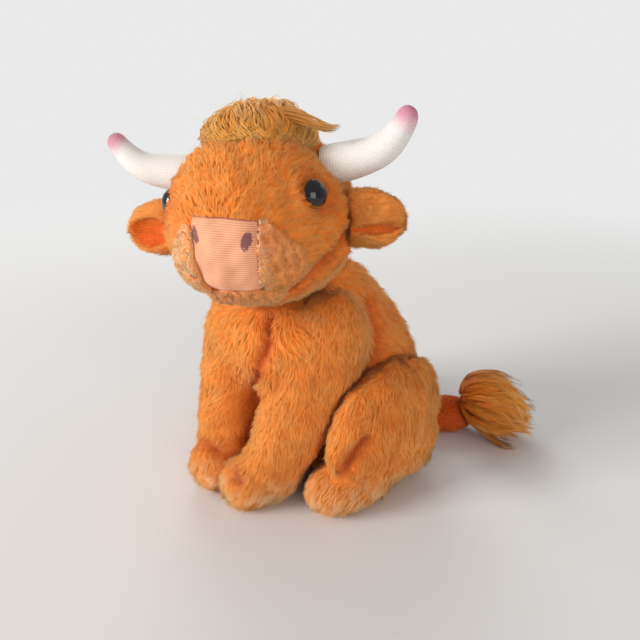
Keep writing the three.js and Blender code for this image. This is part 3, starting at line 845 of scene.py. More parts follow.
def spread_over(piece, count, random, values):
    """Random places on a skin, even by area, with the skin's smooth normal and its value at each."""
    tri = triangles_of(piece.data)
    p, n = points_of(piece), normals_of(piece)
    corner, second, third = p[tri].transpose(1, 0, 2)
    area = np.linalg.norm(np.cross(second - corner, third - corner), axis=1)
    chosen = tri[np.searchsorted(np.cumsum(area) / area.sum(), random.random(count))]
    a, b = random.random(count), random.random(count)
    a, b = np.where(a + b > 1, 1 - a, a), np.where(a + b > 1, 1 - b, b)
    weights = np.stack([1 - a - b, a, b], 1)
    places, ways = ((rows[chosen] * weights[:, :, None]).sum(1) for rows in (p, n))
    return places, unit(ways), (values[chosen] * weights).sum(1)


def along_skin(ways, normals):
    """Directions with what points out of the skin taken away."""
    return unit(ways - normals * (ways * normals).sum(1, keepdims=True))


def spikes(lines, thick, facing):
    """Three-sided closed spikes along lines (count, steps, 3): three points round each place but
    the last, which is the tip. Returns points, quads and triangles."""
    count, steps = lines.shape[:2]
    rings = steps - 1
    ahead = unit(np.gradient(lines, axis=1)[:, :-1])
    across = unit(np.cross(ahead, facing[:, None]))
    out = np.cross(ahead, across)
    angle = 2 * np.pi * np.arange(3) / 3
    ring = across[:, :, None] * np.cos(angle)[:, None] + out[:, :, None] * np.sin(angle)[:, None]
    taper = thick[:, None] * (1 - 0.6 * (np.arange(rings) / rings) ** 1.5)
    body = lines[:, :-1, None] + ring * taper[:, :, None, None]
    points = np.concatenate([body.reshape(count, -1, 3), lines[:, -1:]], 1).reshape(-1, 3)
    base = (3 * rings + 1) * np.arange(count)[:, None, None]
    sides = np.array([[0, 1, 4, 3], [1, 2, 5, 4], [2, 0, 3, 5]])
    up = (3 * np.arange(rings - 1)[:, None, None] + sides).reshape(-1, 4)
    ends = 3 * (rings - 1) + np.array([[0, 1, 3], [1, 2, 3], [2, 0, 3]])
    ends = np.vstack([[2, 1, 0], ends])
    return points, (base + up).reshape(-1, 4), (base + ends).reshape(-1, 3)


def give_attribute(mesh, name, values):
    """A named value on each point, which a material can read."""
    made = mesh.attributes.new(name, "FLOAT", "POINT")
    made.data.foreach_set("value", np.asarray(values, np.float32))


START_BELOW = 0.5 * MM


def room_over(roots, normals, tree, reach):
    """How far each root's normal runs before it meets another piece, up to reach."""
    found = np.full(len(roots), reach)
    for i, (p, n) in enumerate(zip((roots - normals * START_BELOW).tolist(), normals.tolist())):
        hit = tree.ray_cast(p, n, reach)
        if hit[0] is not None:
            found[i] = hit[3] - START_BELOW
    return found


def joined(name, skin, points, quads, tris):
    """The skin's faces and the fibres' faces in one new mesh."""
    corner, first, total, _ = corners_of(skin.data)
    groups = [corner[first[total == k][:, None] + np.arange(k)] for k in np.unique(total)]
    bare = points_of(skin)
    shift = len(bare)
    return new_mesh(name, np.vstack([bare, points]), *groups, quads + shift, tris + shift)


SKIN_PATCH = 5 * MM


def lock_map(piece, bare, each, lock_of):
    """A map of squares: the fibres of one lock share a square, from root to tip across it, and each
    small patch of skin has one of its own. bare is the number of the skin's points, each that of a
    fibre's."""
    mesh = piece.data
    corner, first, total, face = corners_of(mesh)
    within = np.arange(len(corner)) - first[face]
    centre = np.empty(len(total) * 3, np.float32)
    mesh.polygons.foreach_get("center", centre)
    fibre = corner >= bare
    on_skin = ~fibre[first]
    patches = np.floor(centre.reshape(-1, 3)[on_skin] / SKIN_PATCH).astype(int)
    patch = np.zeros(len(total), int)
    patch[on_skin] = np.unique(patches, axis=0, return_inverse=True)[1].ravel()
    local = (corner - bare) % each
    square = lock_of.max() + 1 + patch[face]
    square[fibre] = lock_of[(corner[fibre] - bare) // each]
    root_cap = np.maximum.reduceat(np.where(fibre, local, each), first) <= 2
    across = np.where(local == each - 1, 0.5, 0.12 + 0.38 * (local % 3))
    u = np.where(fibre, 0.12 + 0.76 * (local // 3) / (each // 3), SQUARE[within % 4, 0])
    v = np.where(fibre, across, SQUARE[within % 4, 1])
    u = u + np.where(root_cap[face] & (within == 1), 0.1, 0)
    side = int(np.ceil(np.sqrt(square.max() + 1)))
    give_map(mesh, np.stack([(square % side + u) / side, (square // side + v) / side], 1))


# The bare skin takes the colour 0.3 along a fibre, darkened by the same painted shade as the roots.
SKIN_ALONG, SKIN_TINT = 0.3, 0.5


def with_fibres(name, skin, lines, facing, width, lock_of, *, tint, pale, shade_and_dark_hairs, skin_shade, share):
    """One mesh of a skin and of fibres along lines, with each point's place along its fibre, its
    tint, its pale share and its share of painted shade in creases and hollows, which on the hairs
    of the long locks marks dark hairs instead. Fibres are shaded partly as the cloth under them, by
    share, so that they read as a soft mass."""
    points, quads, tris = spikes(lines, width, facing)
    each = 3 * (lines.shape[1] - 1) + 1
    bare = len(skin.data.vertices)
    whole = joined(name, skin, points, quads, tris)
    along = np.append(np.repeat(np.arange(each // 3), 3), each // 3) / (each // 3)
    along = np.concatenate([np.full(bare, SKIN_ALONG), np.tile(along, len(lines))])
    give_attribute(whole.data, "along", along)
    rows = (("tint", SKIN_TINT, tint), ("pale", 0.0, pale), ("shade_and_dark_hairs", skin_shade, shade_and_dark_hairs))
    for label, on_skin, on_fibre in rows:
        values = np.concatenate([np.broadcast_to(on_skin, bare), np.repeat(on_fibre, each)])
        give_attribute(whole.data, label, values)
    lock_map(whole, bare, each, lock_of)
    own = normals_of(whole)
    under = np.repeat(facing, each, 0)
    own[bare:] = unit(own[bare:] * (1 - share) + under * share)
    whole.data.normals_split_custom_set_from_vertices(own.astype(np.float32))
    bpy.data.objects.remove(skin)
    whole.name = name
    print(name, len(lines), "fibres,", len(triangles_of(whole.data)), "triangles")
    return whole


SHORTEST_ROOM, SET_IN, OVER_TABLE = 0.3 * MM, 0.3 * MM, 0.15 * MM


def furred(name, skin, comb, *, count, length, thick, seed, tree=None, keep=None, lift=0.32, lock=3.0,
           pale=None, stray=0.22, gather=0.5, deep=None, share=0.72):
    """The skin with pile on it: count roots, fibres of a length and half width in millimetres. comb
    gives each root's direction along the skin. Roots that another piece covers, or that keep turns
    down, are left bare, and fibres near another piece or in a crease are short. deep, each skin
    point's share of crease and hollow, also gives them painted shade. lift is how steeply they
    stand, lock how wide a clinging lock is, stray how unevenly they lie, and gather how far a
    lock's tips draw together."""
    random = np.random.default_rng(seed)
    deep = np.zeros(len(skin.data.vertices)) if deep is None else deep
    roots, normals, shade_and_dark_hairs = spread_over(skin, count, random, deep)
    room = np.full(len(roots), 9 * length * MM)
    wanted = np.ones(len(roots), bool) if keep is None else keep(roots, normals)
    if tree is not None:
        room = room_over(roots, normals, tree, 2 * length * MM)
        wanted &= room > SHORTEST_ROOM
    roots, normals, shade_and_dark_hairs, room = roots[wanted], normals[wanted], shade_and_dark_hairs[wanted], room[wanted]
    tall = length * MM * np.clip(0.6 + room / (length * MM), 0.75, 1) * (1 - 0.8 * shade_and_dark_hairs)
    way = along_skin(comb(roots, normals), normals)
    turn = 0.5 * wobble(roots, 17, seed + 1) + stray * random.normal(size=len(roots))
    way = way * np.cos(turn)[:, None] + np.cross(normals, way) * np.sin(turn)[:, None]
    uneven = 0.22 * random.normal(size=len(roots)) + 0.12 * wobble(roots, 11, seed + 2)
    tall *= np.clip(1 + uneven, 0.4, 1.6)
    steep = lift + 0.12 * random.normal(size=len(roots)) + 0.14 * wobble(roots, 9, seed + 3)
    steep = np.clip(steep, 0.1, 0.9)
    tips = roots + (normals * steep[:, None] + way * np.sqrt(1 - steep**2)[:, None]) * tall[:, None]
    drift = np.stack([wobble(roots, 7, seed + s) for s in (4, 5, 6)], 1)
    cell = np.floor((roots + 0.5 * lock * MM * drift) / (lock * MM)).astype(int)
    key = np.unique(cell, axis=0, return_inverse=True)[1].ravel()
    size = np.bincount(key)
    middle = np.stack([np.bincount(key, tips[:, i]) / size for i in range(3)], 1)[key]
    drawn = gather * np.clip(0.6 + 0.5 * random.random(len(roots)), 0, 1)
    tips = tips + (middle - tips) * drawn[:, None]
    tips[:, 2] = np.maximum(tips[:, 2], OVER_TABLE)
    width = thick * MM * (0.7 + 0.6 * random.random(len(roots)))
    tint = random.random(len(size))[key] * 0.6 + random.random(len(roots)) * 0.4
    pale_share = np.zeros(len(roots)) if pale is None else pale(roots)
    lines = np.stack([roots - normals * SET_IN, tips], 1)
    return with_fibres(name, skin, lines, normals, width, key, tint=tint, pale=pale_share, shade_and_dark_hairs=shade_and_dark_hairs,
                       skin_shade=deep, share=share)


def hair_lines(centres, radii, count, random, waves, amplitude, shortest):
    """Strands of clinging locks. centres are the locks' middle lines (locks, steps, 3) and radii
    their half widths (locks, steps), both in millimetres. Each strand keeps its own place in its
    lock, winds slowly round the middle, swings in waves of an amplitude in millimetres, and ends
    between the shortest share of its lock and the whole. Returns lines and their locks."""
    locks, steps = centres.shape[:2]
    lock = np.repeat(np.arange(locks), count)
    s = np.linspace(0, 1, steps)
    ahead = unit(np.gradient(centres, axis=1))
    across = unit(np.cross(ahead, UP + 0.01))
    out = np.cross(across, ahead)
    angle = 2 * np.pi * random.random(len(lock))[:, None] + 1.6 * s
    angle = angle + 0.5 * random.normal(size=(len(lock), 1))
    near = np.sqrt(random.random(len(lock)))[:, None] * radii[lock]
    wave = amplitude * s * np.sin(2 * np.pi * (waves * s + random.random(locks)[lock][:, None]))
    ripple = np.sin(2 * np.pi * (1.7 * waves * s + random.random((len(lock), 1))))
    wave = wave + 0.35 * amplitude * ripple
    lines = centres[lock] + across[lock] * (np.cos(angle) * near + wave)[..., None]
    lines = lines + out[lock] * (np.sin(angle) * near + 0.5 * wave)[..., None]
    at = s * (shortest + (1 - shortest) * random.random((len(lock), 1))) * (steps - 1)
    k = np.minimum(at.astype(int), steps - 2)
    w = (at - k)[..., None]
    row = np.arange(len(lock))[:, None]
    return lines[row, k] * (1 - w) + lines[row, k + 1] * w, lock


# %% [markdown]
# ## Pile finish
# The pile is painted deep orange at its root, as painted shade where light is trapped, and pale at
# its tip. The finish reads how far along its fibre a point is, the fibre's own tint, its painted
# shade in creases and hollows, which is darker and redder, and slow blotches.

# %% Pile finish
class Nodes:
    """Short words for a material's nodes."""

    def __init__(self, name, roughness):
        """A new material with this roughness."""
        self.material = bpy.data.materials.new(name)
        self.material.use_nodes = True
        self.tree = self.material.node_tree
        self.shader = self.tree.nodes["Principled BSDF"]
        self.shader.inputs["Roughness"].default_value = roughness

    def add(self, kind, **settings):
        """A new node. A setting that names a socket goes into it, and any other is the node's own."""
        node = self.tree.nodes.new(kind)
        for key, value in settings.items():
            if key in node.inputs:
                self.link(value, node.inputs[key])
            else:
                setattr(node, key, value)
        return node

    def link(self, value, socket):
        """Leads a socket or a plain value into a socket."""
        if isinstance(value, bpy.types.NodeSocket):
            self.tree.links.new(value, socket)
        else:
            socket.default_value = value

    def attribute(self, name):
        """A value that the mesh carries."""
        return self.add("ShaderNodeAttribute", attribute_name=name).outputs["Fac"]

    def place(self):
        """The place on the piece, which doesn't slide when its body moves."""
        return self.add("ShaderNodeTexCoord").outputs["Object"]

    def noise(self, size, detail=2.0):
        """Noise with features of this size in millimetres."""
        noise = self.add("ShaderNodeTexNoise", Vector=self.place(), Scale=1 / (size * MM), Detail=detail)
        return noise.outputs["Fac"]

    def mix(self, share, a, b, blend="MIX"):
        """Colour a, with a share of colour b blended in."""
        node = self.add("ShaderNodeMix", data_type="RGBA", blend_type=blend)
        self.link(share, node.inputs[0])
        self.link(a, node.inputs[6])
        self.link(b, node.inputs[7])
        return node.outputs[2]

    def ramp(self, value, *stops):
        """A colour ramp through (place, colour) stops."""
        node = self.add("ShaderNodeValToRGB")
        self.link(value, node.inputs[0])
        while len(node.color_ramp.elements) < len(stops):
            node.color_ramp.elements.new(0.5)
        for element, (at, colour) in zip(node.color_ramp.elements, stops):
            element.position = at
            element.color = (*colour, 1)
        return node.outputs[0]

    def math(self, operation, a, b=0.0, clamp=False):
        """One sum over two values."""
        node = self.add("ShaderNodeMath", operation=operation, use_clamp=clamp)
        self.link(a, node.inputs[0])
        self.link(b, node.inputs[1])
        return node.outputs[0]

    def wave(self, value, turns):
        """The sine of a value times so many turns."""
        return self.math("SINE", self.math("MULTIPLY", value, 2 * np.pi * turns))

    def bump(self, height, distance, strength):
        """Fine relief, up to so many millimetres high."""
        node = self.add("ShaderNodeBump", Height=height, Distance=distance * MM, Strength=strength)
        self.link(node.outputs[0], self.shader.inputs["Normal"])

    def colour(self, socket):
        """The shader's colour."""
        self.link(socket, self.shader.inputs["Base Color"])

    def fixed(self, **values):
        """Plain values on the shader's own sockets, with underscores for the spaces."""
        for name, value in values.items():
            self.shader.inputs[name.replace("_", " ")].default_value = value


def grey(level):
    """A colour without a hue."""
    return (level, level, level)


WARM_SHEEN = (1.0, 0.60, 0.26, 1)


def pile_finish(name, *, root, middle, tip, pale, shade_and_dark_hairs, sheen=0.6, roughness=0.8, gloss=0.3):
    """Pile cloth: root, middle and tip colours along a fibre, with painted shade at the root, light
    and dark fibres, slow blotches, painted shade in creases and hollows, darker and redder, whose
    colour the long locks also give their dark hairs, and a pale share."""
    n = Nodes(name, roughness)
    along = n.attribute("along")
    # Painted shade: a fibre's root is darker than its tip, for light trapped deep in the pile.
    base = n.ramp(along, (0.0, root), (0.5, middle), (1.0, tip))
    tint = n.attribute("tint")
    tint = n.ramp(tint, (0.0, (0.86, 0.80, 0.74)), (0.5, grey(0.97)), (1.0, grey(1.0)))
    blotch = n.ramp(n.noise(20), (0.32, (0.94, 0.78, 0.66)), (0.55, grey(1.0)))
    shaded = n.mix(1.0, n.mix(1.0, base, tint, "MULTIPLY"), blotch, "MULTIPLY")
    # Painted shade: creases and hollows mix towards a dark red, which the long locks also use for their dark
    # hairs.
    with_shade_and_dark_hairs = n.mix(n.math("MULTIPLY", n.attribute("shade_and_dark_hairs"), 0.85), shaded, (*shade_and_dark_hairs, 1))
    # The pale share: wear on the paws, the ridge by the nose, the chin, pale hairs, and painted light on the
    # cow's right muzzle patch.
    pale_share = n.math("MULTIPLY", n.attribute("pale"), n.math("POWER", along, 1.2))
    n.colour(n.mix(pale_share, with_shade_and_dark_hairs, (*pale, 1)))
    n.fixed(Sheen_Weight=sheen, Sheen_Roughness=0.45, Sheen_Tint=WARM_SHEEN, Specular_IOR_Level=gloss)
    return n.material


GINGER_PILE = pile_finish(
    "ginger_pile",
    root=(0.97, 0.21, 0.015),
    middle=(1.0, 0.32, 0.045),
    tip=(1.0, 0.46, 0.14),
    pale=(1.0, 0.76, 0.46),
    shade_and_dark_hairs=(0.42, 0.04, 0.003),
)
LONG_PILE = pile_finish(
    "long_pile",
    root=(1.0, 0.33, 0.03),
    middle=(1.0, 0.46, 0.085),
    tip=(1.0, 0.60, 0.19),
    pale=(1.0, 0.86, 0.54),
    shade_and_dark_hairs=(0.80, 0.18, 0.02),
    sheen=0.75,
    roughness=0.6,
)
TUFT_PILE = pile_finish(
    "tuft_pile",
    root=(0.90, 0.20, 0.008),
    middle=(1.0, 0.32, 0.025),
    tip=(1.0, 0.45, 0.08),
    pale=(1.0, 0.76, 0.42),
    shade_and_dark_hairs=(0.50, 0.08, 0.006),
    sheen=0.35,
    roughness=0.6,
)
EAR_PILE = pile_finish(
    "ear_pile",
    root=(0.80, 0.09, 0.004),
    middle=(0.98, 0.18, 0.014),
    tip=(1.0, 0.32, 0.05),
    pale=(1.0, 0.6, 0.3),
    shade_and_dark_hairs=(0.45, 0.05, 0.004),
    sheen=0.5,
)
DARK_PILE = pile_finish(
    "dark_pile",
    root=(0.50, 0.045, 0.003),
    middle=(0.72, 0.10, 0.006),
    tip=(0.86, 0.20, 0.02),
    pale=(0.9, 0.5, 0.25),
    shade_and_dark_hairs=(0.25, 0.03, 0.004),
    sheen=0.35,
)


def dressed(piece, finish, body, node):
    """Gives a piece its finish and the body that it rides on, and hides the solid that it stands
    for."""
    piece.data.materials.clear()
    piece.data.materials.append(finish)
    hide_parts(node)
    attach(piece, body)


# %% [markdown]
# ## Pile on the trunk and legs
# The trunk's pile runs down, away from the chest seam and back along the flanks. It runs down the
# legs and forward over the paws, which are pale from wear.

# %% Trunk and legs
def down_and_out(roots, normals):
    """Down and away from the chest seam, and up round the neck, where it hides the join."""
    side = np.clip(roots[:, 0] / (30 * MM), -1, 1)
    front = np.clip(-roots[:, 1] / (30 * MM), -1, 1)
    neck = step_between(roots[:, 2] / MM, 108, 115)
    return np.stack([side * 0.7, 0.5 - 0.45 * front, 3 * neck - 1], 1)


def down_the_leg(roots, normals):
    """Down the foreleg, and forwards over the paw."""
    low = np.clip(1 - roots[:, 2] / (32 * MM), 0, 1)
    return np.stack([0.15 * np.sign(roots[:, 0]), -0.35 - 1.3 * low, -1 + 0.75 * low], 1)


def along_the_thigh(roots, normals):
    """Down and forwards over the thigh, and forwards over the toes."""
    low = np.clip(1 - roots[:, 2] / (30 * MM), 0, 1)
    return np.stack([0.1 * np.sign(roots[:, 0]), -0.55 - 0.8 * low, -1 + 0.7 * low], 1)


def above_table(roots, normals):
    """Roots that don't lie on the table."""
    return (roots[:, 2] > 0.8 * MM) | (normals[:, 2] > -0.6)


def worn_paws(roots):
    """Paws and toes are pale from wear."""
    low = np.clip((26 * MM - roots[:, 2]) / (18 * MM), 0, 1)
    return low * np.clip(0.5 + 0.9 * wobble(roots, 8, 40), 0, 1)


TRUNK_PILE = {"count": 45000, "length": 6.0, "thick": 0.30, "keep": above_table}
LEG_PILE = {"count": 32000, "length": 5.2, "thick": 0.27, "keep": above_table, "pale": worn_paws}
near_trunk = tree_of(head_skin, *[skins[leg] for leg in LEGS])
trunk = furred("trunk_cover", skins["trunk"], down_and_out, seed=11, tree=near_trunk,
               deep=creases["trunk"], **TRUNK_PILE)
dressed(trunk, GINGER_PILE, "trunk", "trunk")
for index, leg in enumerate(LEGS):
    comb = down_the_leg if leg.startswith("front") else along_the_thigh
    near_leg = tree_of(NODES["trunk"], *[NODES[other] for other in LEGS if other != leg])
    cover = furred(leg + "_cover", skins[leg], comb, seed=20 + 10 * index, tree=near_leg,
                   deep=creases[leg], **LEG_PILE)
    dressed(cover, GINGER_PILE, leg, leg)

# %% [markdown]
# ## Panels on the head
# The nose is an oblong of ribbed knit, and each muzzle patch and the chin are curly, glossy
# cloth. Each is a closed piece laid over the stuffed head: a grid over its outline, raised a little
# in the middle where the stuffing pushes, with its rim turned in to the seam.

# %% Sewn panels
MUZZLE_MIDDLE = np.array([0.0, -12.0, -4.0])


def tree_in_head(*pieces):
    """A search tree over these pieces' meshes, in the head's directions."""
    return tree_of(*pieces, seen_from=into_head)


def on_front(tree, spots):
    """Where lines from the front meet a surface, at (side, up) spots."""
    places = np.zeros((len(spots), 3))
    for i, (side, up) in enumerate(spots.tolist()):
        hit = tree.ray_cast((side, -120, up), (0, 1, 0))
        places[i] = hit[0] if hit[0] is not None else tree.find_nearest((side, -20, up))[0]
    return places


def sewn_panel(name, spot, rows, columns, height, tree, middle=MUZZLE_MIDDLE, deep=1.4):
    """A closed panel: a grid u, v from -1 to 1 laid on the skin at spot(u, v), raised by
    height(u, v, place) away from a middle, with a rim deep millimetres under the skin and a back.
    Returns the piece, u, v and the number of points on its front."""
    lines = np.meshgrid(np.linspace(-1, 1, rows), np.linspace(-1, 1, columns), indexing="ij")
    v, u = (line.ravel() for line in lines)
    places = on_front(tree, spot(u, v))
    out = unit(places - middle)
    front = places + out * height(u, v, places)[:, None]
    grid = np.arange(rows * columns).reshape(rows, columns)
    rim = np.concatenate([grid[0, :-1], grid[:-1, -1], grid[-1, :0:-1], grid[:0:-1, 0]])
    low = places[rim] - out[rim] * deep
    under = rows * columns + np.arange(len(rim))
    quads = np.stack([grid[:-1, :-1], grid[:-1, 1:], grid[1:, 1:], grid[1:, :-1]], -1)
    quads = quads.reshape(-1, 4)
    skirt = np.stack([rim, under, np.roll(under, -1), np.roll(rim, -1)], -1)
    fan = np.stack([under, np.full(len(rim), under[-1] + 1), np.roll(under, -1)], -1)
    points = np.vstack([front, low, low.mean(0)])
    piece = new_mesh(name, out_of_head(points), quads, skirt, fan)
    flat = 0.5 + 0.46 * np.stack([u, v], 1)
    wider = 0.5 + (flat[rim] - 0.5) * 1.06
    corner_map = np.vstack([flat, wider])
    tiny = np.tile([(0.004, 0.004), (0.014, 0.004), (0.009, 0.014)], (len(fan), 1))
    give_map(piece.data, np.vstack([corner_map[quads.ravel()], corner_map[skirt.ravel()], tiny]))
    return faces_out(piece), u, v, rows * columns


def give_front(piece, name, values):
    """A value for the points of a panel's front, and nought for its rim and back."""
    whole = np.zeros(len(piece.data.vertices))
    whole[: len(values)] = values
    give_attribute(piece.data, name, whole)


def edge_fall(u, v, power=6):
    """1 over the middle of a panel, falling to 0 at its edge."""
    return np.clip(1 - np.abs(u) ** power, 0, 1) * np.clip(1 - np.abs(v) ** power, 0, 1)


# %% [markdown]
# ### Nose
# Its rows of knit run across, 1.2 mm apart, and lean to and fro as stitches do. Two flocked
# nostrils are dyed on, and its edge is stitched down with dark red thread.

# %% Nose panel
head_front = tree_in_head(head_skin)
NOSE_TOP, NOSE_FOOT, NOSE_HALF_TOP, NOSE_HALF_FOOT = 8.0, -20.0, 13.8, 11.2
NOSE_SHIFT, NOSE_SKEW, NOSE_ROUND, NOSE_SPREAD = 0.8, 0.11, 0.09, 1.03
KNIT_ROWS, KNIT_COLUMNS = 35, 34
NOSTRILS = {1: np.array([10.0, -0.6]), -1: np.array([-10.2, 2.4])}
NOSTRIL_SIZE = np.array([1.9, 3.3])
SEAM_THREADS = 12


def nose_edge(up):
    """The nose's half width at a height."""
    return np.interp(up, [NOSE_FOOT, NOSE_TOP], [NOSE_HALF_FOOT, NOSE_HALF_TOP])


def nose_spot(u, v):
    """A square with rounded corners, wider at its top and a little askew."""
    across = u * np.sqrt(1 - NOSE_ROUND * v**2) * NOSE_SPREAD
    above = v * np.sqrt(1 - NOSE_ROUND * u**2) * NOSE_SPREAD
    up = (NOSE_TOP + NOSE_FOOT) / 2 + above * (NOSE_TOP - NOSE_FOOT) / 2
    side = across * nose_edge(up)
    return np.stack([side + NOSE_SHIFT, up - NOSE_SKEW * side], 1)


def knit(u, v):
    """Rows of stitches from -1 to 1 that zigzag with the columns."""
    zigzag = 2 * np.abs((u * KNIT_COLUMNS / 2) % 1 - 0.5)
    return np.sin(2 * np.pi * (v * KNIT_ROWS / 2 + 0.3 * zigzag))


def nose_height(u, v, places):
    """A puffed panel with its knit in relief."""
    fall = edge_fall(u, v)
    return 0.5 + 1.3 * np.sqrt(fall) + 0.06 * knit(u, v) * np.minimum(1, 3 * fall)


def nostrils(spots):
    """How much each (side, up) spot lies in a nostril: leaning ovals with a soft edge."""
    inside = np.zeros(len(spots))
    for hand in (1, -1):
        away = spots - NOSTRILS[hand]
        lean = np.stack([away[:, 0] - hand * 0.22 * away[:, 1], away[:, 1]], 1) / NOSTRIL_SIZE
        inside = np.maximum(inside, 1 / (1 + np.exp((np.linalg.norm(lean, axis=1) - 1) * 6)))
    return inside


def knit_finish():
    """Peach knit with painted shade between its stitches, purple-brown nostrils and a red seam."""
    n = Nodes("nose_knit", 0.6)
    stitch, edge = n.attribute("stitch"), n.attribute("edge")
    # Painted shade: the knit is darker where its relief dips between stitches.
    stops = ((0.0, (0.66, 0.26, 0.12)), (0.5, (0.84, 0.38, 0.20)), (1.0, (0.95, 0.50, 0.30)))
    row = n.ramp(stitch, *stops)
    cloudy = n.ramp(n.noise(9), (0.3, (0.92, 0.86, 0.84)), (0.7, grey(1.0)))
    base = n.mix(1.0, row, cloudy, "MULTIPLY")
    grain = n.math("MULTIPLY", n.math("SUBTRACT", n.noise(0.8, 3), 0.5), 1.3)
    speckle = n.math("ADD", n.attribute("nostril"), grain)
    dyed = n.mix(n.ramp(speckle, (0.40, grey(0)), (0.75, grey(0.88))), base, (0.16, 0.045, 0.06, 1))
    n.colour(n.mix(edge, dyed, (0.30, 0.05, 0.03, 1)))
    n.bump(n.noise(0.35, 2), 0.05, 0.5)
    n.fixed(Sheen_Weight=0.2, Sheen_Roughness=0.5, Specular_IOR_Level=0.35)
    return n.material


nose, u, v, front = sewn_panel("nose_panel_cloth", nose_spot, 176, 140, nose_height, head_front)
give_front(nose, "stitch", 0.5 + 0.5 * knit(u, v))
give_front(nose, "nostril", nostrils(nose_spot(u, v)))
thread = 0.5 + 0.5 * np.sin(2 * np.pi * (u + v) * SEAM_THREADS)
on_seam = np.clip((np.maximum(np.abs(u), np.abs(v)) - 0.94) * 30, 0, 1)
give_front(nose, "edge", on_seam * (0.75 + 0.25 * thread))
dressed(nose, knit_finish(), "head", "nose_panel")

# %% [markdown]
# ### Muzzle patches and chin
# Their pile is cut so short and curly that it stands in glossy beads. Along the nose a fluffy pale
# ridge hides the seam, and under the nose the chin is gathered into small upright folds.

# %% Curly panels
LEAF_WIDTH = np.polyfit([-1, -0.6, -0.2, 0.2, 0.6, 1], [7.5, 12.4, 14.6, 13.4, 8.8, 2.0], 4)
LEAF_MIDDLE, LEAF_HALF = -8.4, 14.4


def leaf_spot(hand):
    """A leaf beside the nose: from the nose's edge out, as wide as LEAF_WIDTH says."""
    def spot(u, v):
        up = LEAF_MIDDLE + LEAF_HALF * v - 1.2 * (1 - v**2)
        inner = nose_edge(np.clip(up, NOSE_FOOT, NOSE_TOP)) + 0.2 + NOSE_SHIFT * hand
        return np.stack([hand * (inner + (u + 1) / 2 * np.polyval(LEAF_WIDTH, v)), up], 1)
    return spot


def chin_spot(u, v):
    """A lens under the nose: its upper and lower edge draw together as u to the power of four."""
    top = -20.7 - 3.6 * u**4
    low = -30.0 + 2.4 * u**4
    return np.stack([16.0 * u, low + (top - low) * (v + 1) / 2], 1)


def beads(u, v, places):
    """A puffed patch with soft lumps, whose inner side stands up beside the nose."""
    puff = np.sqrt(edge_fall(np.clip(u, -0.3, 1), v, 4))
    return 0.5 + 2.2 * puff + 0.4 * wobble(places * MM, 3.4, 8) * puff


def gathers(u, v, places):
    """Upright folds from the seam under the nose."""
    folds = np.sin(2 * np.pi * (4.5 * u + 0.12 * np.sin(9 * v)))
    return 0.5 + 1.1 * np.sqrt(edge_fall(u, v, 4)) + 0.45 * folds * edge_fall(u, v)


def on_panel(roots, normals):
    """Roots on a panel's front."""
    return (unit(into_head(roots) - MUZZLE_MIDDLE) * (normals @ HEAD_TURNED)).sum(1) > 0.3


def by_the_nose(roots):
    """The pale ridge along the nose's edge."""
    p = into_head(roots)
    from_nose = np.abs(p[:, 0] - NOSE_SHIFT) - nose_edge(p[:, 2])
    return np.clip((4.6 - from_nose) / 1.4, 0, 1) * (p[:, 2] > -21) * 0.9


def sunlit(roots):
    """Painted light: the cow's right patch, where the window light falls, is painted pale all over."""
    return 0.75 + 0.2 * wobble(roots, 6, 66)


def in_all_ways(roots, normals):
    """Curls that lie in slow whirls."""
    return np.stack([wobble(roots, 5, s) for s in (61, 62, 63)], 1) + [0, 0, -0.2]


def a_little_pale(roots):
    """The chin is a little pale, evenly all over."""
    return np.full(len(roots), 0.35)


CURLS = pile_finish(
    "muzzle_curls",
    root=(0.80, 0.22, 0.03),
    middle=(0.90, 0.33, 0.07),
    tip=(0.98, 0.50, 0.18),
    pale=(1.0, 0.74, 0.44),
    shade_and_dark_hairs=(0.4, 0.1, 0.03),
    sheen=0.3,
    roughness=0.45,
    gloss=0.55,
)
CURLY = {"thick": 0.2, "keep": on_panel, "lift": 0.62, "stray": 0.8, "gather": 0.85, "share": 0.5}
LEAF_PILE = {"count": 9000, "length": 1.7, "lock": 1.3, **CURLY}
CHIN_PILE = {"count": 8000, "length": 1.8, "lock": 1.4, **CURLY}
# The left patch's pale share is its pale ridge by the nose, and the right patch's is painted light.
for side, hand, pale_share in (("left", 1, by_the_nose), ("right", -1, sunlit)):
    name = f"muzzle_{side}_patch"
    patch = sewn_panel(name, leaf_spot(hand), 60, 36, beads, head_front)[0]
    patch = furred(name, patch, in_all_ways, seed=81 + hand, pale=pale_share, **LEAF_PILE)
    dressed(patch, CURLS, "head", f"muzzle_{side}")
chin = sewn_panel("chin_patch", chin_spot, 30, 110, gathers, head_front)[0]
chin = furred("chin_patch", chin, in_all_ways, seed=85, pale=a_little_pale, **CHIN_PILE)
dressed(chin, CURLS, "head", "chin")

# %% [markdown]
# ## Pile on the head
# The head's pile is short and curls into small knots. It runs back from the muzzle, and keeps
# clear of the muzzle panels, the eyes and the horns.

# %% Head pile
EYE_CLEAR, NECK_CLEAR = np.cos(radians(7.2)), np.cos(radians(27))


def open_pile(roots, normals):
    """Roots outside the muzzle panels, the eyes and the neck."""
    p = into_head(roots)
    side, up = np.abs(p[:, 0] - NOSE_SHIFT), p[:, 2]
    share = np.clip((up - LEAF_MIDDLE) / LEAF_HALF, -1, 1)
    leaf = nose_edge(np.clip(up, NOSE_FOOT, NOSE_TOP)) + np.polyval(LEAF_WIDTH, share)
    panels = (side < leaf - 1.6) & (up > -21.6) & (up < NOSE_TOP - 2.0 - NOSE_SKEW * p[:, 0])
    panels |= (side < 13.5) & (up > -27.6) & (up < -20)
    way = unit(p)
    eyes = (way @ eye_way(1) > EYE_CLEAR) | (way @ eye_way(-1) > EYE_CLEAR)
    return ~(((p[:, 1] < -30) & panels) | eyes | (way @ neck_way > NECK_CLEAR))


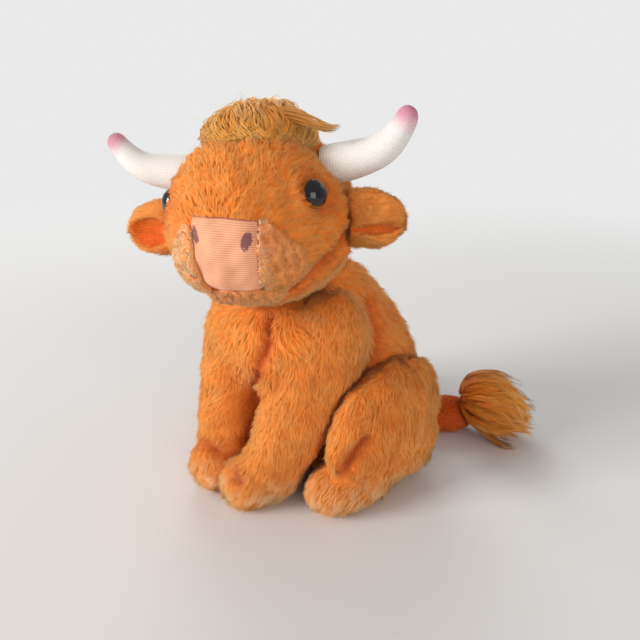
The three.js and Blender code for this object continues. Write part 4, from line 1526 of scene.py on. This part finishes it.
def back_from_nose(roots, normals):
    """Runs back from the muzzle in all directions, down a little over the cheeks, and down over the
    join at the neck."""
    p = into_head(roots)
    away = unit(p - np.array([0, -58, -14])) + [0, 0, -0.25]
    away[:, 2] -= 1.6 * step_between(unit(p) @ neck_way, 0.35, 0.8)
    return away @ HEAD_TURNED.T


head_near = tree_of(NODES["trunk"], NODES["horn_left"], NODES["horn_right"])
head_skin_copy = head_skin.copy()
head_skin_copy.data = head_skin.data.copy()
HEAD_PILE = {"count": 50000, "length": 4.4, "thick": 0.25, "lift": 0.42, "lock": 3.2, "stray": 0.55}
head = furred("head_cover", head_skin, back_from_nose, seed=70, tree=head_near, keep=open_pile,
              gather=0.75, deep=creases["head"], **HEAD_PILE)
dressed(head, GINGER_PILE, "head", "head")

# %% [markdown]
# ## Eyes
# A safety eye is one moulding: a clear-coated dome with a brown iris round a black pupil, and a
# shank behind it that runs through the cloth into its washer.

# %% Eyes and washers
EYE_RADIUS, EYE_DOME, EYE_SUNK, EYE_LENGTH, SHANK = 6.0, 4.5, 0.9, 11.0, 1.5


EYE_AROUND, EYE_BOW = 72, 28


def turned(name, profile, axis, around):
    """A closed piece turned about a way out of the head. profile gives its radius and its distance
    from the head's middle, from the outer pole to the inner pole."""
    profile = np.array(profile)
    first = unit(np.cross(axis, UP))
    second = np.cross(axis, first)
    angle = 2 * np.pi * np.arange(around)[:, None] / around
    ring = first * np.cos(angle) + second * np.sin(angle)
    body = axis * profile[1:-1, 1][:, None, None] + ring * profile[1:-1, 0][:, None, None]
    points = np.vstack([body.reshape(-1, 3), axis * profile[0, 1], axis * profile[-1, 1]])
    quads, fans = tube_faces(len(profile) - 1, around)
    piece = new_mesh(name, out_of_head(points), quads, fans)
    run = np.append(0, np.cumsum(np.linalg.norm(np.diff(profile, axis=0), axis=1)))
    tube_map(piece.data, run / run[-1], around)
    radius = np.append(np.repeat(profile[1:-1, 0], around), [0, 0])
    give_attribute(piece.data, "radius", radius / EYE_RADIUS)
    return faces_out(piece)


def eye_finish():
    """Black pupil, brown iris with an amber edge, and a hard clear coat."""
    n = Nodes("eye_plastic", 0.12)
    n.colour(
        n.ramp(
            n.attribute("radius"),
            (0.0, (0.006, 0.006, 0.008)),
            (0.84, (0.008, 0.007, 0.008)),
            (0.88, (0.10, 0.026, 0.006)),
            (0.93, (0.40, 0.12, 0.014)),
            (0.96, (0.60, 0.26, 0.04)),
            (1.0, (0.05, 0.012, 0.004)),
        )
    )
    n.fixed(Coat_Weight=0.6, Coat_Roughness=0.04, Specular_IOR_Level=0.25)
    return n.material


EYE_PLASTIC = eye_finish()
WASHER_PLASTIC = plain_finish("washer_plastic", (0.78, 0.77, 0.73), 0.35)
for side, hand in (("left", 1), ("right", -1)):
    way = eye_way(hand)
    outside = out_of_head(way[None] * WELL_OUTSIDE)[0]
    middle = out_of_head(np.zeros((1, 3)))[0]
    reach = WELL_OUTSIDE - plain_head.ray_cast(Vector(outside), Vector(middle - outside))[3] / MM
    base = reach - EYE_SUNK
    bow = np.linspace(np.pi / 2, 0, EYE_BOW)
    profile = [(EYE_RADIUS * np.cos(a), base + EYE_DOME * np.sin(a)) for a in bow]
    profile[0] = (0, base + EYE_DOME)
    profile += [(EYE_RADIUS, base - 0.35), (EYE_RADIUS - 0.3, base - 0.6), (SHANK + 0.3, base - 0.6)]
    profile += [(SHANK, base - 0.9), (SHANK, base - EYE_LENGTH + 0.4), (SHANK - 0.4, base - EYE_LENGTH)]
    eye = turned(f"eye_{side}_dome", profile + [(0, base - EYE_LENGTH)], way, EYE_AROUND)
    dressed(eye, EYE_PLASTIC, "head", f"eye_{side}")
    for slot in NODES[f"eye_washer_{side}"].material_slots:
        slot.link = "OBJECT"
        slot.material = WASHER_PLASTIC

# %% [markdown]
# ## Horns
# Each horn is a stuffed tube of fine white knit that bends upwards, with an airbrushed pink tip.
# Its map follows the tube, so that the knit's rows run round it and its ribs along it.

# %% Horns
HORN_STATIONS = [
    (24, 2, 20, 9.5, 9.5),
    (43, 2, 22, 8, 8),
    (56, 0, 26, 6.5, 6.5),
    (64, -1, 34, 5, 5),
    (67.5, -2, 41, 4.3, 4.3),
]
HORN_START, HORN_BLUNT, HORN_RINGS, HORN_AROUND = 0.07, 8, 110, 80
KNIT_ROUND, KNIT_ALONG = 62, 40


def horn_finish():
    """Fine white knit, with painted reflected light warm at the head, painted shade between its stitches and
    a pink tip.
    """
    n = Nodes("horn_tricot", 0.7)
    place = n.add("ShaderNodeSeparateXYZ", Vector=n.add("ShaderNodeUVMap", uv_map="OFBake").outputs[0])
    turn, along = place.outputs[0], place.outputs[1]
    rows = n.math("MULTIPLY", n.wave(along, KNIT_ROUND), 0.6)
    knitted = n.math("ADD", rows, n.math("MULTIPLY", n.wave(turn, KNIT_ALONG), 0.4))
    soft = n.math("ADD", along, n.math("MULTIPLY", n.math("SUBTRACT", n.noise(4, 3), 0.5), 0.10))
    # Painted reflected light: warm at the head, where the orange pile throws light back onto the knit.
    base = n.ramp(
        soft,
        (0.0, (0.86, 0.70, 0.52)),
        (0.16, (0.86, 0.81, 0.74)),
        (0.70, (0.87, 0.84, 0.81)),
        (0.80, (0.86, 0.60, 0.62)),
        (0.90, (0.72, 0.28, 0.38)),
        (1.0, (0.58, 0.16, 0.26)),
    )
    # Painted shade between the stitches, where the knit's relief dips.
    shade_between_stitches = n.math("MULTIPLY", n.math("SUBTRACT", 0.4, knitted), 0.3, True)
    n.colour(n.mix(shade_between_stitches, base, (0.60, 0.50, 0.44, 1)))
    n.bump(knitted, 0.14, 0.6)
    n.fixed(Sheen_Weight=0.2, Sheen_Roughness=0.4, Specular_IOR_Level=0.3)
    return n.material


HORN_KNIT = horn_finish()
for side, hand in (("left", 1), ("right", -1)):
    stations = np.array(HORN_STATIONS) * [hand, 1, 1, 1, 1]
    form = stuffed_form(stations, -BACK, HORN_BLUNT, HORN_RINGS, HORN_AROUND, HORN_START)
    horn = form_object(f"horn_{side}_cover", form, HEAD_MATRIX, shares_of(HORN_RINGS, HORN_START))
    dressed(horn, HORN_KNIT, f"horn_{side}", f"horn_{side}")

# %% [markdown]
# ## Ears
# An ear is a flat stuffed leaf with its front pressed into a cup, and a redder, shorter lining
# sewn in the cup. The cow's right ear opens wide, and its left ear is squeezed to a slit.

# %% Ears
CUPS = {"left": (51.5, -5.5, 10.5, 2.6, 4.0), "right": (51, -3.0, 12.0, 7.4, 6.5)}
FAR_BACK = np.array([0.0, 400.0, 0.0])


def cup_depth(side, points):
    """How far a (side, back, up) point of an ear is pressed back: a half ellipsoid."""
    out, up, wide, high, deep = CUPS[side]
    near = ((np.abs(points[:, 0]) - out) / wide) ** 2 + ((points[:, 2] - up) / high) ** 2
    return deep * np.clip(1 - near, 0, 1) ** 0.6


def lining_spot(side, hand):
    """The cup's ellipse from a square grid, as u times the root of 1 - v squared / 2, and v so too."""
    out, up, wide, high, _ = CUPS[side]

    def spot(u, v):
        """A place in the ellipse."""
        across = u * np.sqrt(1 - v**2 / 2) * wide * 0.97
        return np.stack([hand * (out + across), up + v * np.sqrt(1 - u**2 / 2) * high * 0.97], 1)
    return spot


def ear_out(hand):
    """The ear's pile runs from its root to its tip."""
    def comb(roots, normals):
        """One way for all roots."""
        return np.tile(np.array([hand, -0.25, -0.1]) @ HEAD_TURNED.T, (len(roots), 1))
    return comb


def in_cup(roots, normals):
    """Roots on the lining's front."""
    return -(normals @ HEAD_TURNED)[:, 1] > 0.2


def out_of_cup(side):
    """The ear's own pile stops where the cup is 1.2 mm deep, at the lining."""
    def keep(roots, normals):
        """Roots that aren't in the cup."""
        return cup_depth(side, into_head(roots)) * in_cup(roots, normals) < 1.2
    return keep


def flat_lining(u, v, places):
    """The lining lies 0.3 mm over the cup."""
    return 0.3 + 0 * u


def ear_root(side, hand):
    """A plug that was meant to fill the ear's root. Its half sizes are the same at each station, so
    smooth_line divides zero by zero, and the remesh leaves only one stray voxel of it."""
    p = into_head(points_of(NODES[f"ear_{side}"]))
    out = np.abs(p[:, 0])
    near = p[out < out.min() + 15]
    (_, back, up), half = (near.max(0) + near.min(0)) / 2, np.ptp(near, 0) / 2
    way = [(hand * (out.min() + k), back, up, half[1] * 1.0, half[2] * 1.05) for k in (-20, -4, 12)]
    return form_object("ear_root", stuffed_form(way, BACK, 4, 24, 40), HEAD_MATRIX)


OUTSIDE_PILE = {"count": 13000, "length": 3.2, "thick": 0.24, "lift": 0.42, "lock": 1.9}
LINING_PILE = {"count": 4200, "length": 1.3, "thick": 0.2, "lift": 0.5, "lock": 1.3}
for side, hand in (("left", 1), ("right", -1)):
    ear = even_skin(f"ear_{side}_cover", f"ear_{side}", 0.9, 4, forms=[ear_root(side, hand)])
    local, facing = into_head(points_of(ear)), normals_of(ear) @ HEAD_TURNED
    pressed = cup_depth(side, local) * (facing[:, 1] < 0.1)
    local[:, 1] += pressed
    set_points(ear, out_of_head(local))
    name, cup = f"ear_lining_{side}_cloth", tree_in_head(ear)
    lining = sewn_panel(name, lining_spot(side, hand), 40, 60, flat_lining, cup, FAR_BACK, 0.4)[0]
    # Painted shade: the ear's pile and skin darken where the cup is pressed in.
    ear = furred(f"ear_{side}_cover", ear, ear_out(hand), seed=90 + hand, keep=out_of_cup(side),
                 deep=np.clip(pressed / 3, 0, 1), **OUTSIDE_PILE)
    dressed(ear, GINGER_PILE, f"ear_{side}", f"ear_{side}")
    lining = furred(name, lining, ear_out(hand), seed=95 + hand, keep=in_cup, **LINING_PILE)
    dressed(lining, EAR_PILE, f"ear_{side}", f"ear_lining_{side}")

# %% [markdown]
# ## Tail
# The tail is a short stuffed tube of darker pile.

# %% Tail
def along_tail(roots, normals):
    """One way for all roots, from the trunk to the tuft."""
    return np.tile([0.75, 0.65, -0.1], (len(roots), 1))


tail = even_skin("tail_cover", "tail", 1.2, 5)
near_tail = tree_of(NODES["trunk"], NODES["tail_tuft"])
tail = furred("tail_cover", tail, along_tail, count=11000, length=3.8, thick=0.22, lock=2.2,
              seed=101, tree=near_tail, keep=above_table)
dressed(tail, DARK_PILE, "tail", "tail")

# %% [markdown]
# ## Long locks
# A long lock starts on a core, walks over it for some steps and then hangs free. Its middle line is
# laid first, and its hairs are gathered round that line. The tuft and the forelock are both made in
# this way.

# %% Locks over a surface
def walked(start, facing, way, tree, on_skin, steps, step, droop):
    """Lines that walk over a surface and then hang free: each step goes along the line's way, and
    for the first on_skin steps back to the nearest place on the surface. Returns the places and
    their normals. All lengths are in the tree's own unit."""
    places, facings, flat = [start], [facing], along_skin(way, facing)
    for number in range(steps):
        ahead = places[-1] + step * flat
        held = np.flatnonzero(on_skin > number)
        turned_to = facings[-1].copy()
        found = [tree.find_nearest(place)[:2] for place in ahead[held].tolist()]
        if found:
            ahead[held] = [place for place, _ in found]
            turned_to[held] = [normal for _, normal in found]
        places.append(ahead)
        facings.append(turned_to)
        over_it = along_skin(0.6 * flat + 0.4 * way, turned_to)
        flat = np.where((on_skin > number)[:, None], over_it, unit(flat + droop))
    return np.stack(places, 1), np.stack(facings, 1)


def taken_at(lines, last, steps):
    """Lines resampled to so many steps, each up to its own last place."""
    at = np.linspace(0, 1, steps) * (np.asarray(last, float)[:, None] - 0.001)
    k, row = at.astype(int), np.arange(len(lines))[:, None]
    return lines[row, k] * (1 - (at - k))[..., None] + lines[row, k + 1] * (at - k)[..., None]


def roots_over(core, count, random, wanted):
    """count places on a core, with normals, where wanted(places, normals) holds."""
    root, facing, _ = spread_over(core, 4 * count, random, np.zeros(len(core.data.vertices)))
    keep = np.flatnonzero(wanted(root, facing))[:count]
    return root[keep], facing[keep]


def hair_tints(lock, locks, random):
    """Each hair's tint: 0.7 of its lock's own and 0.3 of its own."""
    return random.random(locks)[lock] * 0.7 + random.random(len(lock)) * 0.3


# %% [markdown]
# ## Tuft
# The tuft is a bundle of long wavy locks that fan out from the tail's end, over a darker core, and
# lie on the table.

# %% Core of the tuft
TUFT_ROOT, TUFT_WAY = np.array([50.0, 78.0, 14.0]) * MM, unit(np.array([0.90, 0.40, -0.06]))


def on_near_half(roots, normals):
    """Roots on the half of the core that is nearer to the tail."""
    return (roots[:, 2] > 2.5 * MM) & ((roots - TUFT_ROOT) @ TUFT_WAY < 24 * MM)


def thinner_core(points):
    """The core under the locks: thinner by up to 30 % from 8 mm to 34 mm along the tuft, and what
    lies beyond 16 mm drawn in by 35 %."""
    run = (points - TUFT_ROOT) @ TUFT_WAY
    middle = TUFT_ROOT + run[:, None] * TUFT_WAY
    middle[:, 2] = TUFT_ROOT[2]
    thin = (0.30 * step_between(run / MM, 8, 34))[:, None]
    drawn_in = (np.maximum(run - 16 * MM, 0) * 0.35)[:, None]
    return points + (middle - points) * thin - TUFT_WAY * drawn_in


tuft_core = even_skin("tail_tuft_locks", "tail_tuft", 1.6, 8, 1.8)
set_points(tuft_core, thinner_core(points_of(tuft_core)))
print("tuft core", len(tuft_core.data.vertices), "points")

# %% Tuft
TUFT_LOCKS, TUFT_HAIRS, LOCK_STEPS = 300, 13, 9
TUFT_WALK, TUFT_STEP, TUFT_LENGTH, TUFT_FALL = 44, 0.8, 47, np.array([0.05, 0.02, -0.03])
HAIR_OVER_TABLE, FARTHEST_OUT = 0.3, 99


def tuft_lines(random):
    """Middle lines of the tuft's locks in millimetres, with normals. Each walks over the core and
    then falls free, arches up on the way, and swings to the sides by a sine that grows along it."""
    root, facing = roots_over(tuft_core, TUFT_LOCKS, random, on_near_half)
    way = TUFT_WAY + 0.12 * unit(root - TUFT_ROOT) + 0.13 * random.normal(size=root.shape)
    on_core = random.integers(8, 22, len(root))
    core = tree_of(tuft_core)
    path, out = walked(root, facing, unit(way), core, on_core, TUFT_WALK, TUFT_STEP * MM, TUFT_FALL)
    room_left = (TUFT_LENGTH - (root - TUFT_ROOT) @ TUFT_WAY / MM) / TUFT_STEP
    last = np.clip(random.uniform(0.55, 1.0, len(root)) * room_left, 14, TUFT_WALK)
    centres, out = taken_at(path, last, LOCK_STEPS) / MM, taken_at(out, last, LOCK_STEPS)
    s = np.linspace(0, 1, LOCK_STEPS)
    swing = 2.8 * s * np.sin(2 * np.pi * (1.5 * s + random.random((len(root), 1))))
    arch = 1.2 + 1.6 * np.sin(np.pi * s) * random.uniform(0.2, 1, (len(root), 1))
    centres = centres + out * arch[..., None]
    return centres + np.cross(out, unit(np.gradient(centres, axis=1))) * swing[..., None], out


random = np.random.default_rng(111)
centres, out = tuft_lines(random)
s = np.linspace(0, 1, LOCK_STEPS)
radii = np.tile(0.5 + 1.3 * np.sin(np.pi * np.minimum(1, 0.2 + 0.8 * s)), (len(centres), 1))
lines, lock = hair_lines(centres, radii, TUFT_HAIRS, random, waves=1.6, amplitude=1.1, shortest=0.6)
lines[:, :, 2] = np.maximum(lines[:, :, 2], HAIR_OVER_TABLE)
lines[:, :, 0] = np.minimum(lines[:, :, 0], FARTHEST_OUT)
tints = hair_tints(lock, len(centres), random)
outward, width = out[lock, LOCK_STEPS // 2], np.full(len(lines), 0.2 * MM)
# Painted shade darkens the core under the locks; the darkest locks take the same dark red as their own tone.
tuft = with_fibres("tail_tuft_locks", tuft_core, lines * MM, outward, width, lock, tint=tints,
                   pale=0.4 * (tints > 0.75), shade_and_dark_hairs=0.35 * (tints < 0.2), skin_shade=0.4, share=0.65)
dressed(tuft, TUFT_PILE, "tail_tuft", "tail_tuft")

# %% [markdown]
# ## Forelock
# Long pile is sewn across the crown and brushed forward. It parts above the cow's right eye: its
# locks sweep to both sides over the brow, one at the cow's left ends in a flick, and a few pale
# hairs stand up.

# %% Locks of the forelock
PAD_WALK, PAD_STEP = 26, 0.75
FLICK = [(6, -6, 44), (18, -9, 43), (29, -10, 38.5), (36, -9, 35.5), (41, -8, 36)]


def from_the_parting(places):
    """The comb over the crown: forward, down and spreading to the sides, and backwards behind the
    parting."""
    side, back = places[:, 0], places[:, 1]
    forward = 1 - 1.7 * step_between(back, 12, 20)
    return np.stack([0.8 * (side + 2) / 24, -forward, 0 * side - 0.9], 1)


def on_outer_side(roots, normals):
    """Roots that face away from the head's middle."""
    return (unit(into_head(roots)) * (normals @ HEAD_TURNED)).sum(1) > 0.25


def forelock_lines(count, steps, random):
    """Middle lines of the locks. Each starts anywhere on the pad, walks over it until it is a
    little beyond its edge, arches up on the way, and ends free of it."""
    root, facing = roots_over(forelock_core, count, random, on_outer_side)
    root, facing = into_head(root), facing @ HEAD_TURNED
    way = from_the_parting(root) + 0.3 * random.normal(size=root.shape)
    all_the_way = np.full(len(root), PAD_WALK)
    path, out = walked(root, facing, way, crown_tree, all_the_way, PAD_WALK, PAD_STEP, 0)
    away = np.array([[pad_tree.find_nearest(place)[3] for place in line] for line in path.tolist()])
    fringe = random.uniform(1.0, 4.2, (len(root), 1)) + 3.0 * step_between(-root[:, :1], 8, 20)
    fringe = fringe * (1 - 0.8 * step_between(root[:, :1], 12, 22))
    beyond = away > fringe
    last = np.where(beyond.any(1), beyond.argmax(1), PAD_WALK)
    last = np.maximum(6, np.minimum(last, random.uniform(15, PAD_WALK, len(root))))
    line, out = taken_at(path, last, steps), taken_at(out, last, steps)
    s = np.linspace(0, 1, steps)
    arch = np.sin(np.pi * np.linspace(0.1, 0.9, steps))
    rise = 0.4 + random.uniform(0.5, 2.4, (len(root), 1)) * arch
    swing = 1.0 * s * np.sin(2 * np.pi * (1.0 * s + random.random((len(root), 1))))
    sideways = np.cross(out, unit(np.gradient(line, axis=1)))
    return line + out * rise[..., None] + sideways * swing[..., None]


def stray_hairs(count, steps, random):
    """Single hairs that stand up off the crown and bend over."""
    root = np.stack([random.uniform(-22, 18, count), random.uniform(-8, 12, count)], 1)
    up = np.array([crown_tree.ray_cast((x, y, 120), (0, 0, -1))[0][2] for x, y in root.tolist()])
    lean = np.stack([random.normal(0, 0.55, count), random.normal(0, 0.4, count)], 1)
    s = np.linspace(0, 1, steps)[None, :, None]
    reach = random.uniform(6, 13, (count, 1, 1))
    start = np.stack([root[:, 0], root[:, 1], up - 1], 1)[:, None]
    plan = lean[:, None] * np.ones((1, steps, 1))
    rise = np.concatenate([plan * s, np.ones_like(s) * np.ones((count, 1, 1)) * (1 - 0.25 * s)], 2)
    return start + rise * s * reach


def narrower(points):
    """The pad's end at the cow's left drawn in, to bare the root of the horn."""
    local = into_head(points)
    local[:, 0] -= 6.5 * step_between(local[:, 0], 8, 30)
    return out_of_head(local)


forelock_core = even_skin("forelock_locks", "forelock", 1.6, 8, 1.6)
set_points(forelock_core, narrower(points_of(forelock_core)))
crown_tree = tree_in_head(head_skin_copy, forelock_core)
pad_tree = tree_in_head(forelock_core)
print("forelock core", len(forelock_core.data.vertices), "points")

# %% Forelock
FORELOCK_LOCKS, FORELOCK_HAIRS, FLICK_LOCKS, STRAYS = 330, 12, 5, 34
HAIR_WIDTH, STRAY_WIDTH, CROWN_MIDDLE = 0.22, 0.09, np.array([[0.0, 0.0, 10.0]])
random = np.random.default_rng(121)
s = np.linspace(0, 1, LOCK_STEPS)
flick = smooth_line(FLICK, s)[None]
centres = forelock_lines(FORELOCK_LOCKS, LOCK_STEPS, random)
centres = np.vstack([centres, np.repeat(flick, FLICK_LOCKS, 0)])
radii = np.tile(0.7 + 1.8 * np.sin(np.pi * np.minimum(1, 0.25 + 0.75 * s) ** 1.2), (len(centres), 1))
lines, lock = hair_lines(centres, radii, FORELOCK_HAIRS, random, waves=1.2, amplitude=0.7, shortest=0.75)
strays = stray_hairs(STRAYS, LOCK_STEPS, random)
tints = hair_tints(lock, len(centres), random)
width = np.repeat([HAIR_WIDTH, STRAY_WIDTH], [len(lines), STRAYS]) * MM
pale = np.append(0.45 * (tints > 0.8), np.ones(STRAYS))
lines = out_of_head(np.vstack([lines, strays]))
lock = np.append(lock, np.full(STRAYS, lock.max() + 1))
tints = np.append(tints, np.ones(STRAYS))
outward = unit(lines[:, LOCK_STEPS // 2] - out_of_head(CROWN_MIDDLE))
# Painted shade darkens the core under the locks; the darkest locks take the same dark red as their own tone.
forelock = with_fibres("forelock_locks", forelock_core, lines, outward, width, lock,
                       tint=tints, pale=pale, shade_and_dark_hairs=0.3 * (tints < 0.15), skin_shade=0.4, share=0.82)
dressed(forelock, LONG_PILE, "head", "forelock")

# %% [markdown]
# ## Inside and under the toy
# The ball of stuffing in the neck fills the join of head and trunk. On the real toy the two covers
# are sewn together round it, so it wears their pile, which closes the join when the head moves. The
# cotton seat panel and the bag of pellets on it are seen only when the toy is turned over or taken
# apart, but they are finished all the same.

# %% Neck and cotton
def woven_finish(name, light, dark, pitch):
    """Plain weave: two sets of threads from sines of the object's own x and y."""
    n = Nodes(name, 0.9)
    place = n.add("ShaderNodeSeparateXYZ", Vector=n.place())
    warp, weft = (n.wave(place.outputs[i], 1 / (pitch * MM)) for i in (0, 1))
    cloth = n.math("MULTIPLY", warp, weft)
    n.colour(n.mix(n.math("ADD", n.math("MULTIPLY", cloth, 0.25), 0.5), (*dark, 1), (*light, 1)))
    n.bump(cloth, 0.15, 0.6)
    return n.material


def down(roots, normals):
    """Down and a little backwards."""
    return np.tile([0.0, 0.2, -1.0], (len(roots), 1))


neck = even_skin("neck_wad", "neck_stuffing", 1.0, 3)
near_neck = tree_of(NODES["trunk"], NODES["head"])
neck = furred("neck_wad", neck, down, count=9000, length=5.0, thick=0.27, lift=0.5, seed=131, tree=near_neck)
dressed(neck, GINGER_PILE, "neck", "neck_stuffing")
COTTON = woven_finish("seat_cotton", (0.70, 0.40, 0.20), (0.48, 0.24, 0.11), 0.9)
seat = even_skin("seat_panel_cloth", "seat_panel", 0.7, 2)
dressed(seat, COTTON, "trunk", "seat_panel")
bag = even_skin("pellet_bag_cloth", "pellet_bag", 1.2, 3)
dressed(bag, COTTON, "trunk", "pellet_bag")
print("seat panel", len(seat.data.vertices), "points, pellet bag", len(bag.data.vertices), "points")
